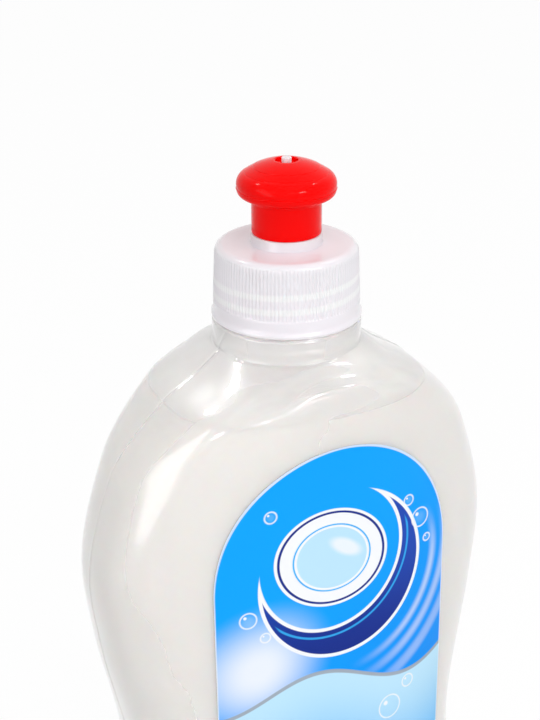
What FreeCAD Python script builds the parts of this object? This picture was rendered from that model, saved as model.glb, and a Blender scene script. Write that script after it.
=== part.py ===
"""A half-litre dish soap bottle: a flattened blown bottle with a screw cap and a push-pull spout.

Millimetres, +Z up, front label towards -Y, origin on the floor under the middle of the bottle.
"""
import FreeCAD, Part
import math
import os

from FreeCAD import Vector

# Body sections from the foot up: height above the floor, half width along X, half depth along Y
foot_half_width = 41.4
foot_half_depth = 27.0
heel_radius = 7.0
belly_z = 32.0
belly_half_width = 42.2
belly_half_depth = 27.6
waist_z = 65.0
waist_half_width = 39.4
waist_half_depth = 26.6
rise_z = 100.0
rise_half_width = 45.1
rise_half_depth = 24.0
widest_z = 115.0
widest_half_width = 46.7
widest_half_depth = 23.3
chest_z = 139.0
chest_half_width = 41.0
chest_half_depth = 22.8
collar_z = 154.0
collar_half_width = 28.4
collar_half_depth = 22.8
brow_z = 159.0
brow_half_width = 20.4
brow_half_depth = 21.9
shoulder_top_z = 162.5
shoulder_top_radius = 15.8

# Squareness of the sections: 2 is an ellipse, more is boxier
body_squareness = 2.55
collar_squareness = 2.85
brow_squareness = 2.3
round_squareness = 2.0

# Blown wall and foot
wall = 1.1
push_up_height = 3.0
push_up_half_width = 27.0
push_up_half_depth = 15.0

# Arched channel pressed into the front and back of the shoulder
channel_tool_radius = 6.0
channel_depth = 0.75
channel_crown_z = 160.7
channel_end_z = 151.5
channel_half_span = 27.0
channel_fade = 1.6

# Neck of the bottle, under and inside the cap
neck_radius = 15.5
neck_height = 5.1
finish_radius = 12.7
finish_height = 12.9
finish_bore_radius = 11.2
neck_wall = 1.4
finish_slope = 1.2

# Thread, right-handed, on the neck and in the cap
thread_pitch = 3.0
thread_turns = 1.75
thread_start_z = 5.1
neck_thread_height = 0.95
neck_thread_base = 1.7
neck_thread_crest = 0.9
cap_thread_base = 1.2
cap_thread_crest = 0.5
cap_thread_turns = 2.0
thread_clearance = 0.3
thread_sink = 0.3

# Sealing ring between the neck and the deck of the cap
seal_thickness = 1.0
seal_half_width = 2.2
seal_inset = 0.3

# Screw cap, heights above its lower edge
skirt_gap = 0.4
lip_radius = 15.6
lip_z = 0.5
lip_edge = 0.3
lip_under_edge = 0.35
band_radius = 15.2
band_bottom_z = 1.7
band_top_z = 3.2
skirt_top_radius = 14.75
skirt_shoulder_z = 13.5
deck_fillet = 1.8
deck_thickness = 1.4
rib_count = 120
rib_depth = 0.22
rib_runout = 0.5

# Spout post that stands on the deck
seat_radius = 7.35
seat_height = 2.15
post_radius = 5.55
post_wall = 1.25
post_flange_thickness = 1.0
post_flange_step = 0.4
pin_radius = 1.02
pin_root_radius = 1.7
pin_root_length = 1.6
pin_proud = 0.55
web_count = 3
web_thickness = 1.1
web_height = 1.6

# Push-pull spout, heights above its lower edge, where it sits on the seat of the cap
spout_travel = 4.5
sleeve_radius = 7.15
sleeve_edge = 0.4
bore_clearance = 0.3
bead_clearance = 0.15
bead_height = 0.55
bead_z = 0.3
head_z = 6.93
head_rim_radius = 8.09
head_rim_edge = 0.55
head_rim_z = 7.78
head_radius = 10.06
lower_bulge_radius = 9.61
lower_bulge_z = 8.05
equator_z = 9.34
equator_ridge = 0.12
equator_ridge_half_height = 0.12
upper_bulge_radius = 9.86
upper_bulge_z = 11.34
crown_outer_radius = 8.45
crown_inner_radius = 6.7
crown_step = 0.1
crown_sphere_radius = 15.85
crown_apex_z = 15.21
eye_radius = 2.3
eye_edge = 0.18
eye_depth = 1.0
orifice_length = 0.9
orifice_clearance = 0.15
roof_z = 10.8
roof_radius = 5.1
roof_slope = 2.0

# Soap and labels
fill_z = 153.0
soap_gap = 0.1
label_half_width = 27.7
label_top_z = 146.6
label_arch_height = 29.6
label_bottom_z = 18.0
label_corner = 6.0
label_thickness = 0.12
label_gap = 0.02
label_arch_squareness = 2.05

# Fineness of the curves that are drawn through points
half_section_points = 12
level_spacing = 10.0
heel_levels = 6
arch_points = 10
channel_points = 9
channel_spans = 8
thread_spans = 8
offset_probes = 10
probe_step = 0.2
flank_limit = 0.98

# Places that follow from the sizes above
neck_top_z = shoulder_top_z + neck_height
cap_z = neck_top_z + skirt_gap
finish_top_z = cap_z + finish_height
skirt_bore_radius = finish_radius + neck_thread_height + thread_clearance
deck_under_z = finish_height + seal_thickness
deck_z = deck_under_z + deck_thickness
seat_z = deck_z + seat_height
sleeve_bore_radius = post_radius + post_flange_step + bore_clearance
flange_under_z = seat_z + bead_z + 2 * bead_height + spout_travel
post_top_z = flange_under_z + post_flange_thickness
post_bore_radius = post_radius - post_wall
eye_edge_drop = crown_sphere_radius - math.sqrt(crown_sphere_radius ** 2 - (eye_radius + eye_edge) ** 2)
crown_z = crown_apex_z - eye_edge_drop
pin_top_z = seat_z + crown_z + pin_proud
orifice_radius = pin_radius + orifice_clearance

SECTIONS = [
    (heel_radius, foot_half_width, foot_half_depth, body_squareness),
    (belly_z, belly_half_width, belly_half_depth, body_squareness),
    (waist_z, waist_half_width, waist_half_depth, body_squareness),
    (rise_z, rise_half_width, rise_half_depth, body_squareness),
    (widest_z, widest_half_width, widest_half_depth, body_squareness),
    (chest_z, chest_half_width, chest_half_depth, body_squareness),
    (collar_z, collar_half_width, collar_half_depth, collar_squareness),
    (brow_z, brow_half_width, brow_half_depth, brow_squareness),
    (shoulder_top_z, shoulder_top_radius, shoulder_top_radius, round_squareness),
]


def slopes(heights, values):
    """Slopes of a smooth curve through the values that never overshoots them."""
    steps = [(v1 - v0) / (h1 - h0) for h0, h1, v0, v1 in zip(heights, heights[1:], values, values[1:])]
    result = [steps[0]]
    for before, after in zip(steps, steps[1:]):
        same_way = before * after > 0
        result.append(2 * before * after / (before + after) if same_way else 0.0)
    result.append(steps[-1])
    return result


def smooth_value(z, column):
    """One column of the section list at height z."""
    heights = [section[0] for section in SECTIONS]
    values = [section[column] for section in SECTIONS]
    if z <= heights[0]:
        return values[0]
    if z >= heights[-1]:
        return values[-1]
    k = max(i for i in range(len(heights) - 1) if heights[i] <= z)
    tangents = slopes(heights, values)
    span = heights[k + 1] - heights[k]
    t = (z - heights[k]) / span
    rest = 1 - t
    ends = values[k] * (1 + 2 * t) * rest ** 2 + values[k + 1] * (3 - 2 * t) * t ** 2
    bend = span * t * rest * (tangents[k] * rest - tangents[k + 1] * t)
    return ends + bend


def outer_half(z, column):
    """Half width (column 1) or half depth (column 2) of the bottle's outside at height z."""
    if z > shoulder_top_z:
        return neck_radius
    value = smooth_value(z, column)
    if z < heel_radius:
        value -= heel_radius - math.sqrt(heel_radius ** 2 - (heel_radius - max(z, 0.0)) ** 2)
    return value


def offset_half(z, column, offset):
    """The same half size on a surface that lies the offset outside (or inside, if negative)."""
    reach = abs(offset)
    sign = 1 if offset > 0 else -1
    candidates = []
    for step in range(-offset_probes, offset_probes + 1):
        rise = reach * step / offset_probes
        if 0 <= z + rise:
            candidates.append(outer_half(z + rise, column) + sign * math.sqrt(reach ** 2 - rise ** 2))
    return max(candidates) if sign > 0 else min(candidates)


def superellipse_point(angle, half_width, half_depth, squareness, z):
    """Point of a section: that of an ellipse, pushed out towards its corners."""
    across = math.cos(angle)
    along = math.sin(angle)
    push = (abs(across) ** squareness + abs(along) ** squareness) ** (-1 / squareness)
    return Vector(half_width * push * across, half_depth * push * along, z)


def section_wire(z, offset):
    """Closed outline of the body at height z, in the two halves of the mould."""
    half_width = offset_half(z, 1, offset)
    half_depth = offset_half(z, 2, offset)
    squareness = smooth_value(z, 3)
    halves = []
    for first, way in ((0.0, 1), (math.pi, -1)):
        turns = [first + math.pi * k / half_section_points for k in range(half_section_points + 1)]
        points = [superellipse_point(turn, half_width, half_depth, squareness, z) for turn in turns]
        points[0].y = 0
        points[-1].y = 0
        curve = Part.BSplineCurve()
        curve.interpolate(Points=points, Tangents=[Vector(0, way, 0), Vector(0, -way, 0)])
        halves.append(curve.toShape())
    return Part.Wire(halves)


def levels(bottom, top):
    """Heights of the sections: close together round the heel and over the shoulder."""
    heel = heel_radius - bottom
    heights = [bottom + heel * (1 - math.cos(math.pi / 2 * k / heel_levels)) for k in range(heel_levels)]
    count = math.ceil((chest_z - heel_radius) / level_spacing)
    heights += [heel_radius + (chest_z - heel_radius) * k / count for k in range(count)]
    shoulder = math.ceil((top - chest_z) / (level_spacing / 3))
    heights += [chest_z + (top - chest_z) * k / shoulder for k in range(shoulder + 1)]
    return heights


def body_form(offset, bottom):
    """The body as one closed solid, moved out or in by the offset."""
    return Part.makeLoft([section_wire(z, offset) for z in levels(bottom, shoulder_top_z)], True, False)


def revolved(points):
    """Solid of revolution about Z from a closed outline; an entry of three points is an arc."""
    edges = []
    last = points[0]
    for entry in points[1:] + [points[0]]:
        if isinstance(entry, list):
            middle, end = entry
            stops = [Vector(stop[0], 0, stop[1]) for stop in (last, middle, end)]
            edges.append(Part.Arc(*stops).toShape())
            last = end
        elif entry != last:
            edges.append(Part.makeLine(Vector(last[0], 0, last[1]), Vector(entry[0], 0, entry[1])))
            last = entry
    face = Part.Face(Part.Wire(edges))
    return face.revolve(Vector(0, 0, 0), Vector(0, 0, 1), 360)


def quarter(centre, radius, start_degrees):
    """Middle and end point of a quarter round that starts at an angle and turns anticlockwise."""
    turned = []
    for degrees in (start_degrees + 45, start_degrees + 90):
        angle = math.radians(degrees)
        turned.append((centre[0] + radius * math.cos(angle), centre[1] + radius * math.sin(angle)))
    return turned


def half_turned(shape):
    """Copy of a shape turned half round the bottle's axis."""
    copy = shape.copy()
    copy.rotate(Vector(0, 0, 0), Vector(0, 0, 1), 180)
    return copy


def channel_path():
    """Centre line of the round tool that presses the channel over the front shoulder."""
    points = []
    for k in range(channel_points):
        share = 2 * k / (channel_points - 1) - 1
        x = channel_half_span * share
        z = channel_crown_z - (channel_crown_z - channel_end_z) * share ** 2
        lift = channel_tool_radius - channel_depth + channel_fade * share ** 4
        points.append(surface_point(x, z, lift))
    curve = Part.BSplineCurve()
    curve.interpolate(points)
    return curve


def surface_y(x, z):
    """Y of the front surface at a place seen from the front."""
    half_width = outer_half(z, 1)
    squareness = smooth_value(z, 3)
    share = min(abs(x) / half_width, flank_limit)
    return -outer_half(z, 2) * (1 - share ** squareness) ** (1 / squareness)


def surface_point(x, z, lift):
    """Point at a distance outside the front surface, along its normal."""
    step = probe_step
    across = Vector(2 * step, surface_y(x + step, z) - surface_y(x - step, z), 0)
    along = Vector(0, surface_y(x, z + step) - surface_y(x, z - step), 2 * step)
    normal = across.cross(along)
    normal.normalize()
    if normal.y > 0:
        normal = normal * -1
    return Vector(x, surface_y(x, z), z) + normal * lift


def channel_tool(extra):
    """Bent round bar that cuts the channel, fatter by the extra for the inside of the wall."""
    curve = channel_path()
    start = curve.value(curve.FirstParameter)
    direction = curve.tangent(curve.FirstParameter)[0]
    circle = Part.Circle(start, direction, channel_tool_radius + extra)
    length = curve.LastParameter - curve.FirstParameter
    stops = [curve.FirstParameter + length * k / channel_spans for k in range(channel_spans + 1)]
    spine = Part.Wire([curve.toShape(low, high) for low, high in zip(stops, stops[1:])])
    return spine.makePipeShell([Part.Wire([circle.toShape()])], True, False)


def push_up(extra):
    """Shallow dome under the foot."""
    stretch = FreeCAD.Matrix()
    stretch.scale(push_up_half_width + extra, push_up_half_depth + extra, push_up_height + extra)
    return Part.makeSphere(1.0).transformGeometry(stretch)


def pressed(form, extra):
    """A body form with the channels and the push-up pressed into it."""
    tool = channel_tool(extra)
    return form.cut([tool, half_turned(tool), push_up(extra)])


def helix_wire(radius, turns):
    """Helix in short spans, which keeps every face of the thread small."""
    spans = []
    for k in range(round(turns * thread_spans)):
        span = Part.makeHelix(thread_pitch, thread_pitch / thread_spans, radius)
        span.rotate(Vector(0, 0, 0), Vector(0, 0, 1), 360 * k / thread_spans)
        span.translate(Vector(0, 0, thread_pitch * k / thread_spans))
        spans += span.Edges
    return Part.Wire(spans)


def thread_ridge(inner_radius, outer_radius, base_outside, base, crest, turns, z):
    """Helical ridge: its broad side lies outside in the cap and inside on the neck."""
    inner_half = (crest if base_outside else base) / 2
    outer_half_height = (base if base_outside else crest) / 2
    corners = [
        Vector(inner_radius, 0, -inner_half),
        Vector(outer_radius, 0, -outer_half_height),
        Vector(outer_radius, 0, outer_half_height),
        Vector(inner_radius, 0, inner_half),
    ]
    outline = Part.makePolygon(corners + corners[:1])
    ridge = helix_wire(inner_radius, turns).makePipeShell([outline], True, True)
    ridge.translate(Vector(0, 0, z))
    return ridge


def hollowed(outside, inside, rim_z):
    """One wall between two closed forms that both end in a flat disc at the rim."""
    walls = []
    rims = []
    for form in (outside, inside):
        for face in form.Faces:
            at_rim = abs(face.BoundBox.ZMin - rim_z) < 1e-4
            (rims if at_rim else walls).append(face)
    land = Part.Face([rims[0].OuterWire, rims[1].OuterWire])
    land.validate()
    shell = Part.makeShell(walls + [land])
    shell.sewShape()
    solid = Part.makeSolid(shell)
    solid.fix(1e-6, 1e-6, 1e-4)
    return solid


def make_bottle():
    """Blown bottle: body, neck with its thread, channels, push-up foot and hollow inside."""
    body = pressed(body_form(0.0, 0.0), 0.0)
    neck = revolved([
        (0, shoulder_top_z - wall),
        (neck_radius, shoulder_top_z - wall),
        (neck_radius, neck_top_z),
        (finish_radius, neck_top_z),
        (finish_radius, finish_top_z),
        (0, finish_top_z),
    ])
    ridge = thread_ridge(
        finish_radius - thread_sink, finish_radius + neck_thread_height, False,
        neck_thread_base, neck_thread_crest, thread_turns, cap_z + thread_start_z,
    )
    cavity = pressed(body_form(-wall, wall), wall)
    bore = revolved([
        (0, shoulder_top_z - 2 * wall),
        (neck_radius - neck_wall, shoulder_top_z - 2 * wall),
        (neck_radius - neck_wall, neck_top_z - neck_wall - finish_slope / 2),
        (finish_bore_radius, neck_top_z - neck_wall + finish_slope / 2),
        (finish_bore_radius, finish_top_z),
        (0, finish_top_z),
    ])
    return hollowed(body.fuse([neck, ridge]), cavity.fuse(bore), finish_top_z)


def make_soap():
    """Soap that fills the bottle up to the shoulder, a little clear of the wall."""
    inset = wall + soap_gap
    form = pressed(body_form(-inset, inset), inset)
    size = 2 * widest_half_width + 2 * wall
    above = Part.makeBox(size, size, size, Vector(-size / 2, -size / 2, fill_z))
    return form.cut(above)


def label_outline():
    """Face in the XZ plane: arched top, straight sides, rounded lower corners."""
    spring_z = label_top_z - label_arch_height
    power = 2 / label_arch_squareness
    arch = []
    for k in range(arch_points + 1):
        angle = math.pi * k / arch_points
        x = label_half_width * math.copysign(abs(math.cos(angle)) ** power, math.cos(angle))
        arch.append(Vector(x, 0, spring_z + label_arch_height * math.sin(angle) ** power))
    top = Part.BSplineCurve()
    top.interpolate(Points=arch, Tangents=[Vector(0, 0, 1), Vector(0, 0, -1)])
    w = label_half_width
    low = label_bottom_z
    r = label_corner
    s = r * (1 - math.sqrt(0.5))
    return Part.Face(Part.Wire([
        top.toShape(),
        Part.makeLine(Vector(-w, 0, spring_z), Vector(-w, 0, low + r)),
        Part.Arc(Vector(-w, 0, low + r), Vector(-w + s, 0, low + s), Vector(-w + r, 0, low)).toShape(),
        Part.makeLine(Vector(-w + r, 0, low), Vector(w - r, 0, low)),
        Part.Arc(Vector(w - r, 0, low), Vector(w - s, 0, low + s), Vector(w, 0, low + r)).toShape(),
        Part.makeLine(Vector(w, 0, low + r), Vector(w, 0, spring_z)),
    ]))


def make_label():
    """Thin film that lies on the front of the body."""
    prism = label_outline().extrude(Vector(0, -2 * widest_half_width, 0))
    side = min(body_form(label_gap, 0.0).Faces, key=lambda face: face.CenterOfMass.y)
    film = side.common(prism).Faces[0]
    return film.makeOffsetShape(label_thickness, 1e-3, fill=True)


def star_corners(z, crest_radius):
    """Corners of the ribbed grip's outline at one height, with the first one again at the end."""
    valley_radius = crest_radius * (1 - rib_depth / band_radius)
    corners = []
    for k in range(2 * rib_count):
        radius = crest_radius if k % 2 == 0 else valley_radius
        angle = math.pi * k / rib_count
        corners.append(Vector(radius * math.cos(angle), radius * math.sin(angle), z))
    return corners + corners[:1]


def grip_form():
    """Tapered star with flat flanks that has the ribs of the grip on its outside."""
    low = star_corners(band_top_z - rib_runout, band_radius)
    high = star_corners(skirt_shoulder_z, skirt_top_radius)
    faces = [Part.Face(Part.makePolygon(low)), Part.Face(Part.makePolygon(high))]
    for corner, following, above_following, above in zip(low, low[1:], high[1:], high):
        flank = Part.makePolygon([corner, following, above_following, above, corner])
        faces.append(Part.Face(flank))
    return Part.makeSolid(Part.makeShell(faces))


def grip_grooves():
    """Ring that cuts the fine grooves of the grip; they run out in a zigzag at their lower end."""
    top = skirt_shoulder_z
    deep = skirt_top_radius - 2 * rib_depth
    ring = revolved([
        (deep, band_top_z + 2 * rib_runout),
        (band_radius - rib_depth, band_top_z + rib_runout),
        (band_radius, band_top_z),
        (lip_radius + rib_depth, band_top_z),
        (lip_radius + rib_depth, top),
        (skirt_top_radius, top),
        (deep, top - rib_runout),
    ])
    return ring.cut(grip_form())


def cap_blank():
    """Turned form of the cap: skirt, deck, spout seat and post."""
    flat_radius = skirt_top_radius - deck_fillet
    return revolved([
        (skirt_bore_radius + lip_under_edge, 0),
        (lip_radius - lip_edge, 0),
        quarter((lip_radius - lip_edge, lip_edge), lip_edge, -90),
        (lip_radius, lip_z),
        (band_radius, band_bottom_z),
        (band_radius, band_top_z),
        (skirt_top_radius, skirt_shoulder_z),
        (skirt_top_radius, deck_z - deck_fillet),
        quarter((flat_radius, deck_z - deck_fillet), deck_fillet, 0),
        (seat_radius, deck_z),
        (seat_radius, seat_z),
        (post_radius, seat_z),
        (post_radius, flange_under_z),
        (post_radius + post_flange_step, flange_under_z),
        (post_radius + post_flange_step, post_top_z - post_flange_step),
        (post_radius, post_top_z),
        (post_bore_radius, post_top_z),
        (post_bore_radius, deck_under_z),
        (skirt_bore_radius, deck_under_z),
        (skirt_bore_radius, lip_under_edge),
    ])


def spout_pin():
    """Pin that plugs the eye of the closed spout, on thin webs across the post."""
    web_z = post_top_z - web_height
    pin = revolved([
        (0, web_z),
        (pin_root_radius, web_z),
        (pin_root_radius, post_top_z),
        (pin_radius, post_top_z + pin_root_length),
        (pin_radius, pin_top_z - eye_edge),
        (pin_radius - eye_edge, pin_top_z),
        (0, pin_top_z),
    ])
    webs = []
    for k in range(web_count):
        web = Part.makeBox(post_radius, web_thickness, web_height, Vector(0, -web_thickness / 2, web_z))
        web.rotate(Vector(0, 0, 0), Vector(0, 0, 1), 360 * k / web_count)
        webs.append(web.common(Part.makeCylinder(post_radius - post_wall / 2, post_top_z)))
    return pin.fuse(webs)


def make_cap():
    """Screw cap, moulded in one piece with the spout post and its pin."""
    ridge = thread_ridge(
        finish_radius + thread_clearance, skirt_bore_radius + thread_sink, True,
        cap_thread_base, cap_thread_crest, cap_thread_turns, thread_start_z - thread_pitch / 2,
    )
    cap = cap_blank().fuse([ridge, spout_pin()]).cut(grip_grooves())
    cap.translate(Vector(0, 0, cap_z))
    return cap


def make_seal():
    """Flat ring on the top of the neck, held in the cap."""
    outer = skirt_bore_radius - seal_inset
    inner = outer - 2 * seal_half_width
    top = finish_top_z + seal_thickness
    return revolved([(inner, finish_top_z), (outer, finish_top_z), (outer, top), (inner, top)])


def crown_arc(start_radius, end_radius, steps_down):
    """Start, middle and end of an arc over the domed crown, lowered by a number of fine steps."""
    stops = []
    for radius in (start_radius, (start_radius + end_radius) / 2, end_radius):
        drop = crown_sphere_radius - math.sqrt(crown_sphere_radius ** 2 - radius ** 2)
        stops.append((radius, crown_apex_z - drop - steps_down * crown_step))
    return stops


def make_spout():
    """Mushroom-headed spout that slides on the post."""
    bead_radius = post_radius + bead_clearance
    bore = sleeve_bore_radius
    step_start, step_middle, step_end = crown_arc(crown_outer_radius, crown_inner_radius, 1)
    crown_start, crown_middle, crown_end = crown_arc(crown_inner_radius, eye_radius + eye_edge, 0)
    spout = revolved([
        (bore, 0),
        (sleeve_radius - sleeve_edge, 0),
        quarter((sleeve_radius - sleeve_edge, sleeve_edge), sleeve_edge, -90),
        (sleeve_radius, head_z),
        (head_rim_radius - head_rim_edge, head_z),
        quarter((head_rim_radius - head_rim_edge, head_z + head_rim_edge), head_rim_edge, -90),
        (head_rim_radius, head_rim_z),
        [(lower_bulge_radius, lower_bulge_z), (head_radius, equator_z - equator_ridge_half_height)],
        (head_radius + equator_ridge, equator_z - equator_ridge_half_height / 2),
        (head_radius + equator_ridge, equator_z + equator_ridge_half_height / 2),
        (head_radius, equator_z + equator_ridge_half_height),
        [(upper_bulge_radius, upper_bulge_z), (crown_outer_radius, step_start[1] - crown_step)],
        step_start,
        [step_middle, step_end],
        crown_start,
        [crown_middle, crown_end],
        (eye_radius, crown_z - eye_edge),
        (eye_radius, crown_z - eye_depth),
        (orifice_radius, crown_z - eye_depth),
        (orifice_radius, crown_z - eye_depth - orifice_length),
        (roof_radius, roof_z),
        (bore, roof_z - roof_slope),
        (bore, bead_z + 2 * bead_height),
        (bead_radius, bead_z + bead_height),
        (bead_radius, bead_z),
    ])
    spout.translate(Vector(0, 0, cap_z + seat_z))
    return spout


def main():
    """Make every piece and write one file for each."""
    label = make_label()
    pieces = {
        "bottle": make_bottle(),
        "liquid_soap": make_soap(),
        "front_label": label,
        "back_label": half_turned(label),
        "seal_ring": make_seal(),
        "screw_cap": make_cap(),
        "pull_spout": make_spout(),
    }
    os.makedirs("parts", exist_ok=True)
    for name, shape in pieces.items():
        box = shape.BoundBox
        print(name, "solids", len(shape.Solids), "valid", shape.isValid(), "volume", round(shape.Volume, 1),
              "box", [round(v, 2) for v in (box.XMin, box.YMin, box.ZMin, box.XMax, box.YMax, box.ZMax)])
        shape.exportStep("parts/" + name + ".step")


main()
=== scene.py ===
"""Looks of a half-litre dish soap bottle with a screw cap and a red push-pull spout.

Every size is in metres, in the bottle's own frame: +Z up, the front label towards -Y,
and the origin on the floor under the middle of the bottle.
"""

import logging
import math
from dataclasses import dataclass, field
from enum import Enum
from typing import Callable, Optional, Sequence

import bmesh
import bpy
from mathutils import Matrix, Vector


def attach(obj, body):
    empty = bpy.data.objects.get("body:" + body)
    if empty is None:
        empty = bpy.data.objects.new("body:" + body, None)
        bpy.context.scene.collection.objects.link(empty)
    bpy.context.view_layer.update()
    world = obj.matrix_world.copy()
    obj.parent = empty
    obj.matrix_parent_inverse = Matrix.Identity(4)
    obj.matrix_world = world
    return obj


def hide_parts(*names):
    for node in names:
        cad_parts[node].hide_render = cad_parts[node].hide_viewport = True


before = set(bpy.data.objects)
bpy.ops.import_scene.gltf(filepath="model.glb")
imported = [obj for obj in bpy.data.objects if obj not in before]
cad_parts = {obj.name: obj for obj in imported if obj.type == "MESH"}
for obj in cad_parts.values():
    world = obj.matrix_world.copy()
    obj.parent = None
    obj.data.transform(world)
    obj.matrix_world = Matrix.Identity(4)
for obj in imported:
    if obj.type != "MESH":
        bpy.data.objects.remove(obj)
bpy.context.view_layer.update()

MM = 0.001
TAU = 2 * math.pi
log = logging.getLogger("dish_soap_bottle")

Colour = tuple[float, float, float]
Place = Callable[[int, int], tuple[float, float, float]]


class Body(Enum):
    """The bodies that pieces ride on."""

    CONTAINER = "container"
    SEAL = "seal"
    CLOSURE = "closure"
    SPOUT = "spout"


class Role(Enum):
    """What a studio lamp is for: even light, or a glint in the gloss."""

    FILL = "fill"
    GLINT = "glint"


class Side(Enum):
    """The side of the bottle that a label lies on."""

    FRONT = -1
    BACK = 1


def srgb(red: float, green: float, blue: float) -> Colour:
    """Linear colour from 0 to 255 display values.

    Args:
        red: Red as a display shows it.
        green: Green as a display shows it.
        blue: Blue as a display shows it.

    Returns:
        The colour as the shaders take it.
    """
    def linear(value: float) -> float:
        """One channel."""
        share = value / 255
        return share / 12.92 if share <= 0.04045 else ((share + 0.055) / 1.055) ** 2.4

    return linear(red), linear(green), linear(blue)


class NodeBoard:
    """Short ways to lay out a material's nodes."""

    def __init__(self, name: str) -> None:
        """Starts an empty material.

        Args:
            name: Name of the material.
        """
        self.material = bpy.data.materials.new(name)
        self.material.use_nodes = True
        self.tree = self.material.node_tree
        self.tree.nodes.clear()
        self.output = self.add("ShaderNodeOutputMaterial")

    def add(self, kind: str, **settings: object) -> bpy.types.Node:
        """Adds a node and sets its properties by name.

        Args:
            kind: The node's type.
            settings: Its properties by name.

        Returns:
            The node.
        """
        node = self.tree.nodes.new(kind)
        for key, value in settings.items():
            setattr(node, key, value)
        return node

    def feed(self, socket: bpy.types.NodeSocket, value: object) -> None:
        """Links a socket to another, or sets it to a plain value.

        Args:
            socket: The input.
            value: An output socket, a number or a colour.
        """
        if isinstance(value, bpy.types.NodeSocket):
            self.tree.links.new(value, socket)
        elif isinstance(value, tuple) and len(value) == 3 and socket.type == "RGBA":
            socket.default_value = (*value, 1.0)
        else:
            socket.default_value = value

    def math(self, operation: str, *values: object, clamp: bool = False) -> bpy.types.NodeSocket:
        """A Math node.

        Args:
            operation: The node's operation.
            values: Its inputs, sockets or numbers.
            clamp: Whether the result stays between 0 and 1.

        Returns:
            The result socket.
        """
        node = self.add("ShaderNodeMath", operation=operation, use_clamp=clamp)
        for socket, value in zip(node.inputs, values):
            self.feed(socket, value)
        return node.outputs[0]

    def step(self, value: object, low: float, high: float) -> bpy.types.NodeSocket:
        """A smooth step from 0 at low to 1 at high.

        Args:
            value: Socket or number to test.
            low: Where the result is 0.
            high: Where the result is 1.

        Returns:
            The result socket.
        """
        node = self.add("ShaderNodeMapRange", interpolation_type="SMOOTHSTEP")
        for key, number in (("Value", value), ("From Min", low), ("From Max", high)):
            self.feed(node.inputs[key], number)
        return node.outputs[0]

    def mix(self, share: object, first: object, second: object) -> bpy.types.NodeSocket:
        """A colour between two colours.

        Args:
            share: How much of the second colour.
            first: The first colour.
            second: The second colour.

        Returns:
            The colour socket.
        """
        node = self.add("ShaderNodeMix", data_type="RGBA")
        self.feed(node.inputs[0], share)
        self.feed(node.inputs[6], first)
        self.feed(node.inputs[7], second)
        return node.outputs[2]

    def noise(self, scale: float, detail: float = 2.0,
              stretch: Optional[tuple] = None) -> bpy.types.NodeSocket:
        """Noise over the piece, in object coordinates.

        Args:
            scale: Cells per metre.
            detail: Octaves.
            stretch: Scale along each axis, if it isn't even.

        Returns:
            The noise value socket.
        """
        place = self.add("ShaderNodeTexCoord").outputs["Object"]
        if stretch is not None:
            mapping = self.add("ShaderNodeMapping")
            self.feed(mapping.inputs["Vector"], place)
            mapping.inputs["Scale"].default_value = stretch
            place = mapping.outputs[0]
        node = self.add("ShaderNodeTexNoise")
        self.feed(node.inputs["Vector"], place)
        node.inputs["Scale"].default_value = scale
        node.inputs["Detail"].default_value = detail
        return node.outputs[0]

    def bump(self, height: object, distance: float, strength: float = 1.0) -> bpy.types.NodeSocket:
        """A bump normal from a height.

        Args:
            height: Socket with the height.
            distance: Depth of the bump in metres.
            strength: How much of it shows.

        Returns:
            The normal socket.
        """
        node = self.add("ShaderNodeBump")
        self.feed(node.inputs["Height"], height)
        node.inputs["Distance"].default_value = distance
        node.inputs["Strength"].default_value = strength
        return node.outputs[0]

    def principled(self, **sockets: object) -> bpy.types.Node:
        """A Principled shader with its sockets fed by name, with _ for a space.

        Args:
            sockets: Values or sockets by name.

        Returns:
            The shader.
        """
        node = self.add("ShaderNodeBsdfPrincipled")
        for key, value in sockets.items():
            self.feed(node.inputs[key.replace("_", " ")], value)
        return node

    def finish(self, shader: bpy.types.Node) -> bpy.types.Material:
        """Puts a shader on the surface and returns the material."""
        self.tree.links.new(shader.outputs[0], self.output.inputs["Surface"])
        return self.material


def lit_through(board: NodeBoard, shader: bpy.types.Node, tint: Colour, share: float) -> bpy.types.Node:
    """Lets part of the light through to what lies behind a shader.

    Args:
        board: The material's nodes.
        shader: The shader of the surface.
        tint: Colour of the light that passes.
        share: How much of it passes.

    Returns:
        The mixed shader.
    """
    shadow = board.add("ShaderNodeLightPath").outputs["Is Shadow Ray"]
    through = board.add("ShaderNodeBsdfTransparent")
    through.inputs["Color"].default_value = (*tint, 1.0)
    mixed = board.add("ShaderNodeMixShader")
    board.feed(mixed.inputs[0], board.math("MULTIPLY", shadow, share))
    board.feed(mixed.inputs[1], shader.outputs[0])
    board.feed(mixed.inputs[2], through.outputs[0])
    return mixed


@dataclass(frozen=True)
class Thread:
    """A thread on a round wall, which runs in and out over a small share of a turn."""

    pitch: float
    turns: float
    start_z: float
    height: float
    base: float
    crest: float
    run_out: float = 0.06

    def stand(self, angle: float, z: float) -> float:
        """How far the thread stands off its wall at an angle and height.

        Args:
            angle: Angle about the axis.
            z: Height, measured as start_z is.

        Returns:
            How far it stands off there.
        """
        best = 0.0
        flank = (self.base - self.crest) / 2
        for turn in range(math.ceil(self.turns) + 1):
            along = angle / TAU + turn
            if along > self.turns:
                continue
            off = abs(z - self.start_z - self.pitch * along)
            share = min(max((self.base / 2 - off) / flank, 0.0), 1.0)
            ends = min(along / self.run_out, (self.turns - along) / self.run_out, 1.0)
            best = max(best, share * ends)
        return best * self.height


NECK_THREAD = Thread(3.0 * MM, 1.75, 173.1 * MM, 0.95 * MM, 1.7 * MM, 0.9 * MM)
CAP_THREAD = Thread(3.0 * MM, 2.0, 3.6 * MM, 0.95 * MM, 1.2 * MM, 0.5 * MM)


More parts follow.
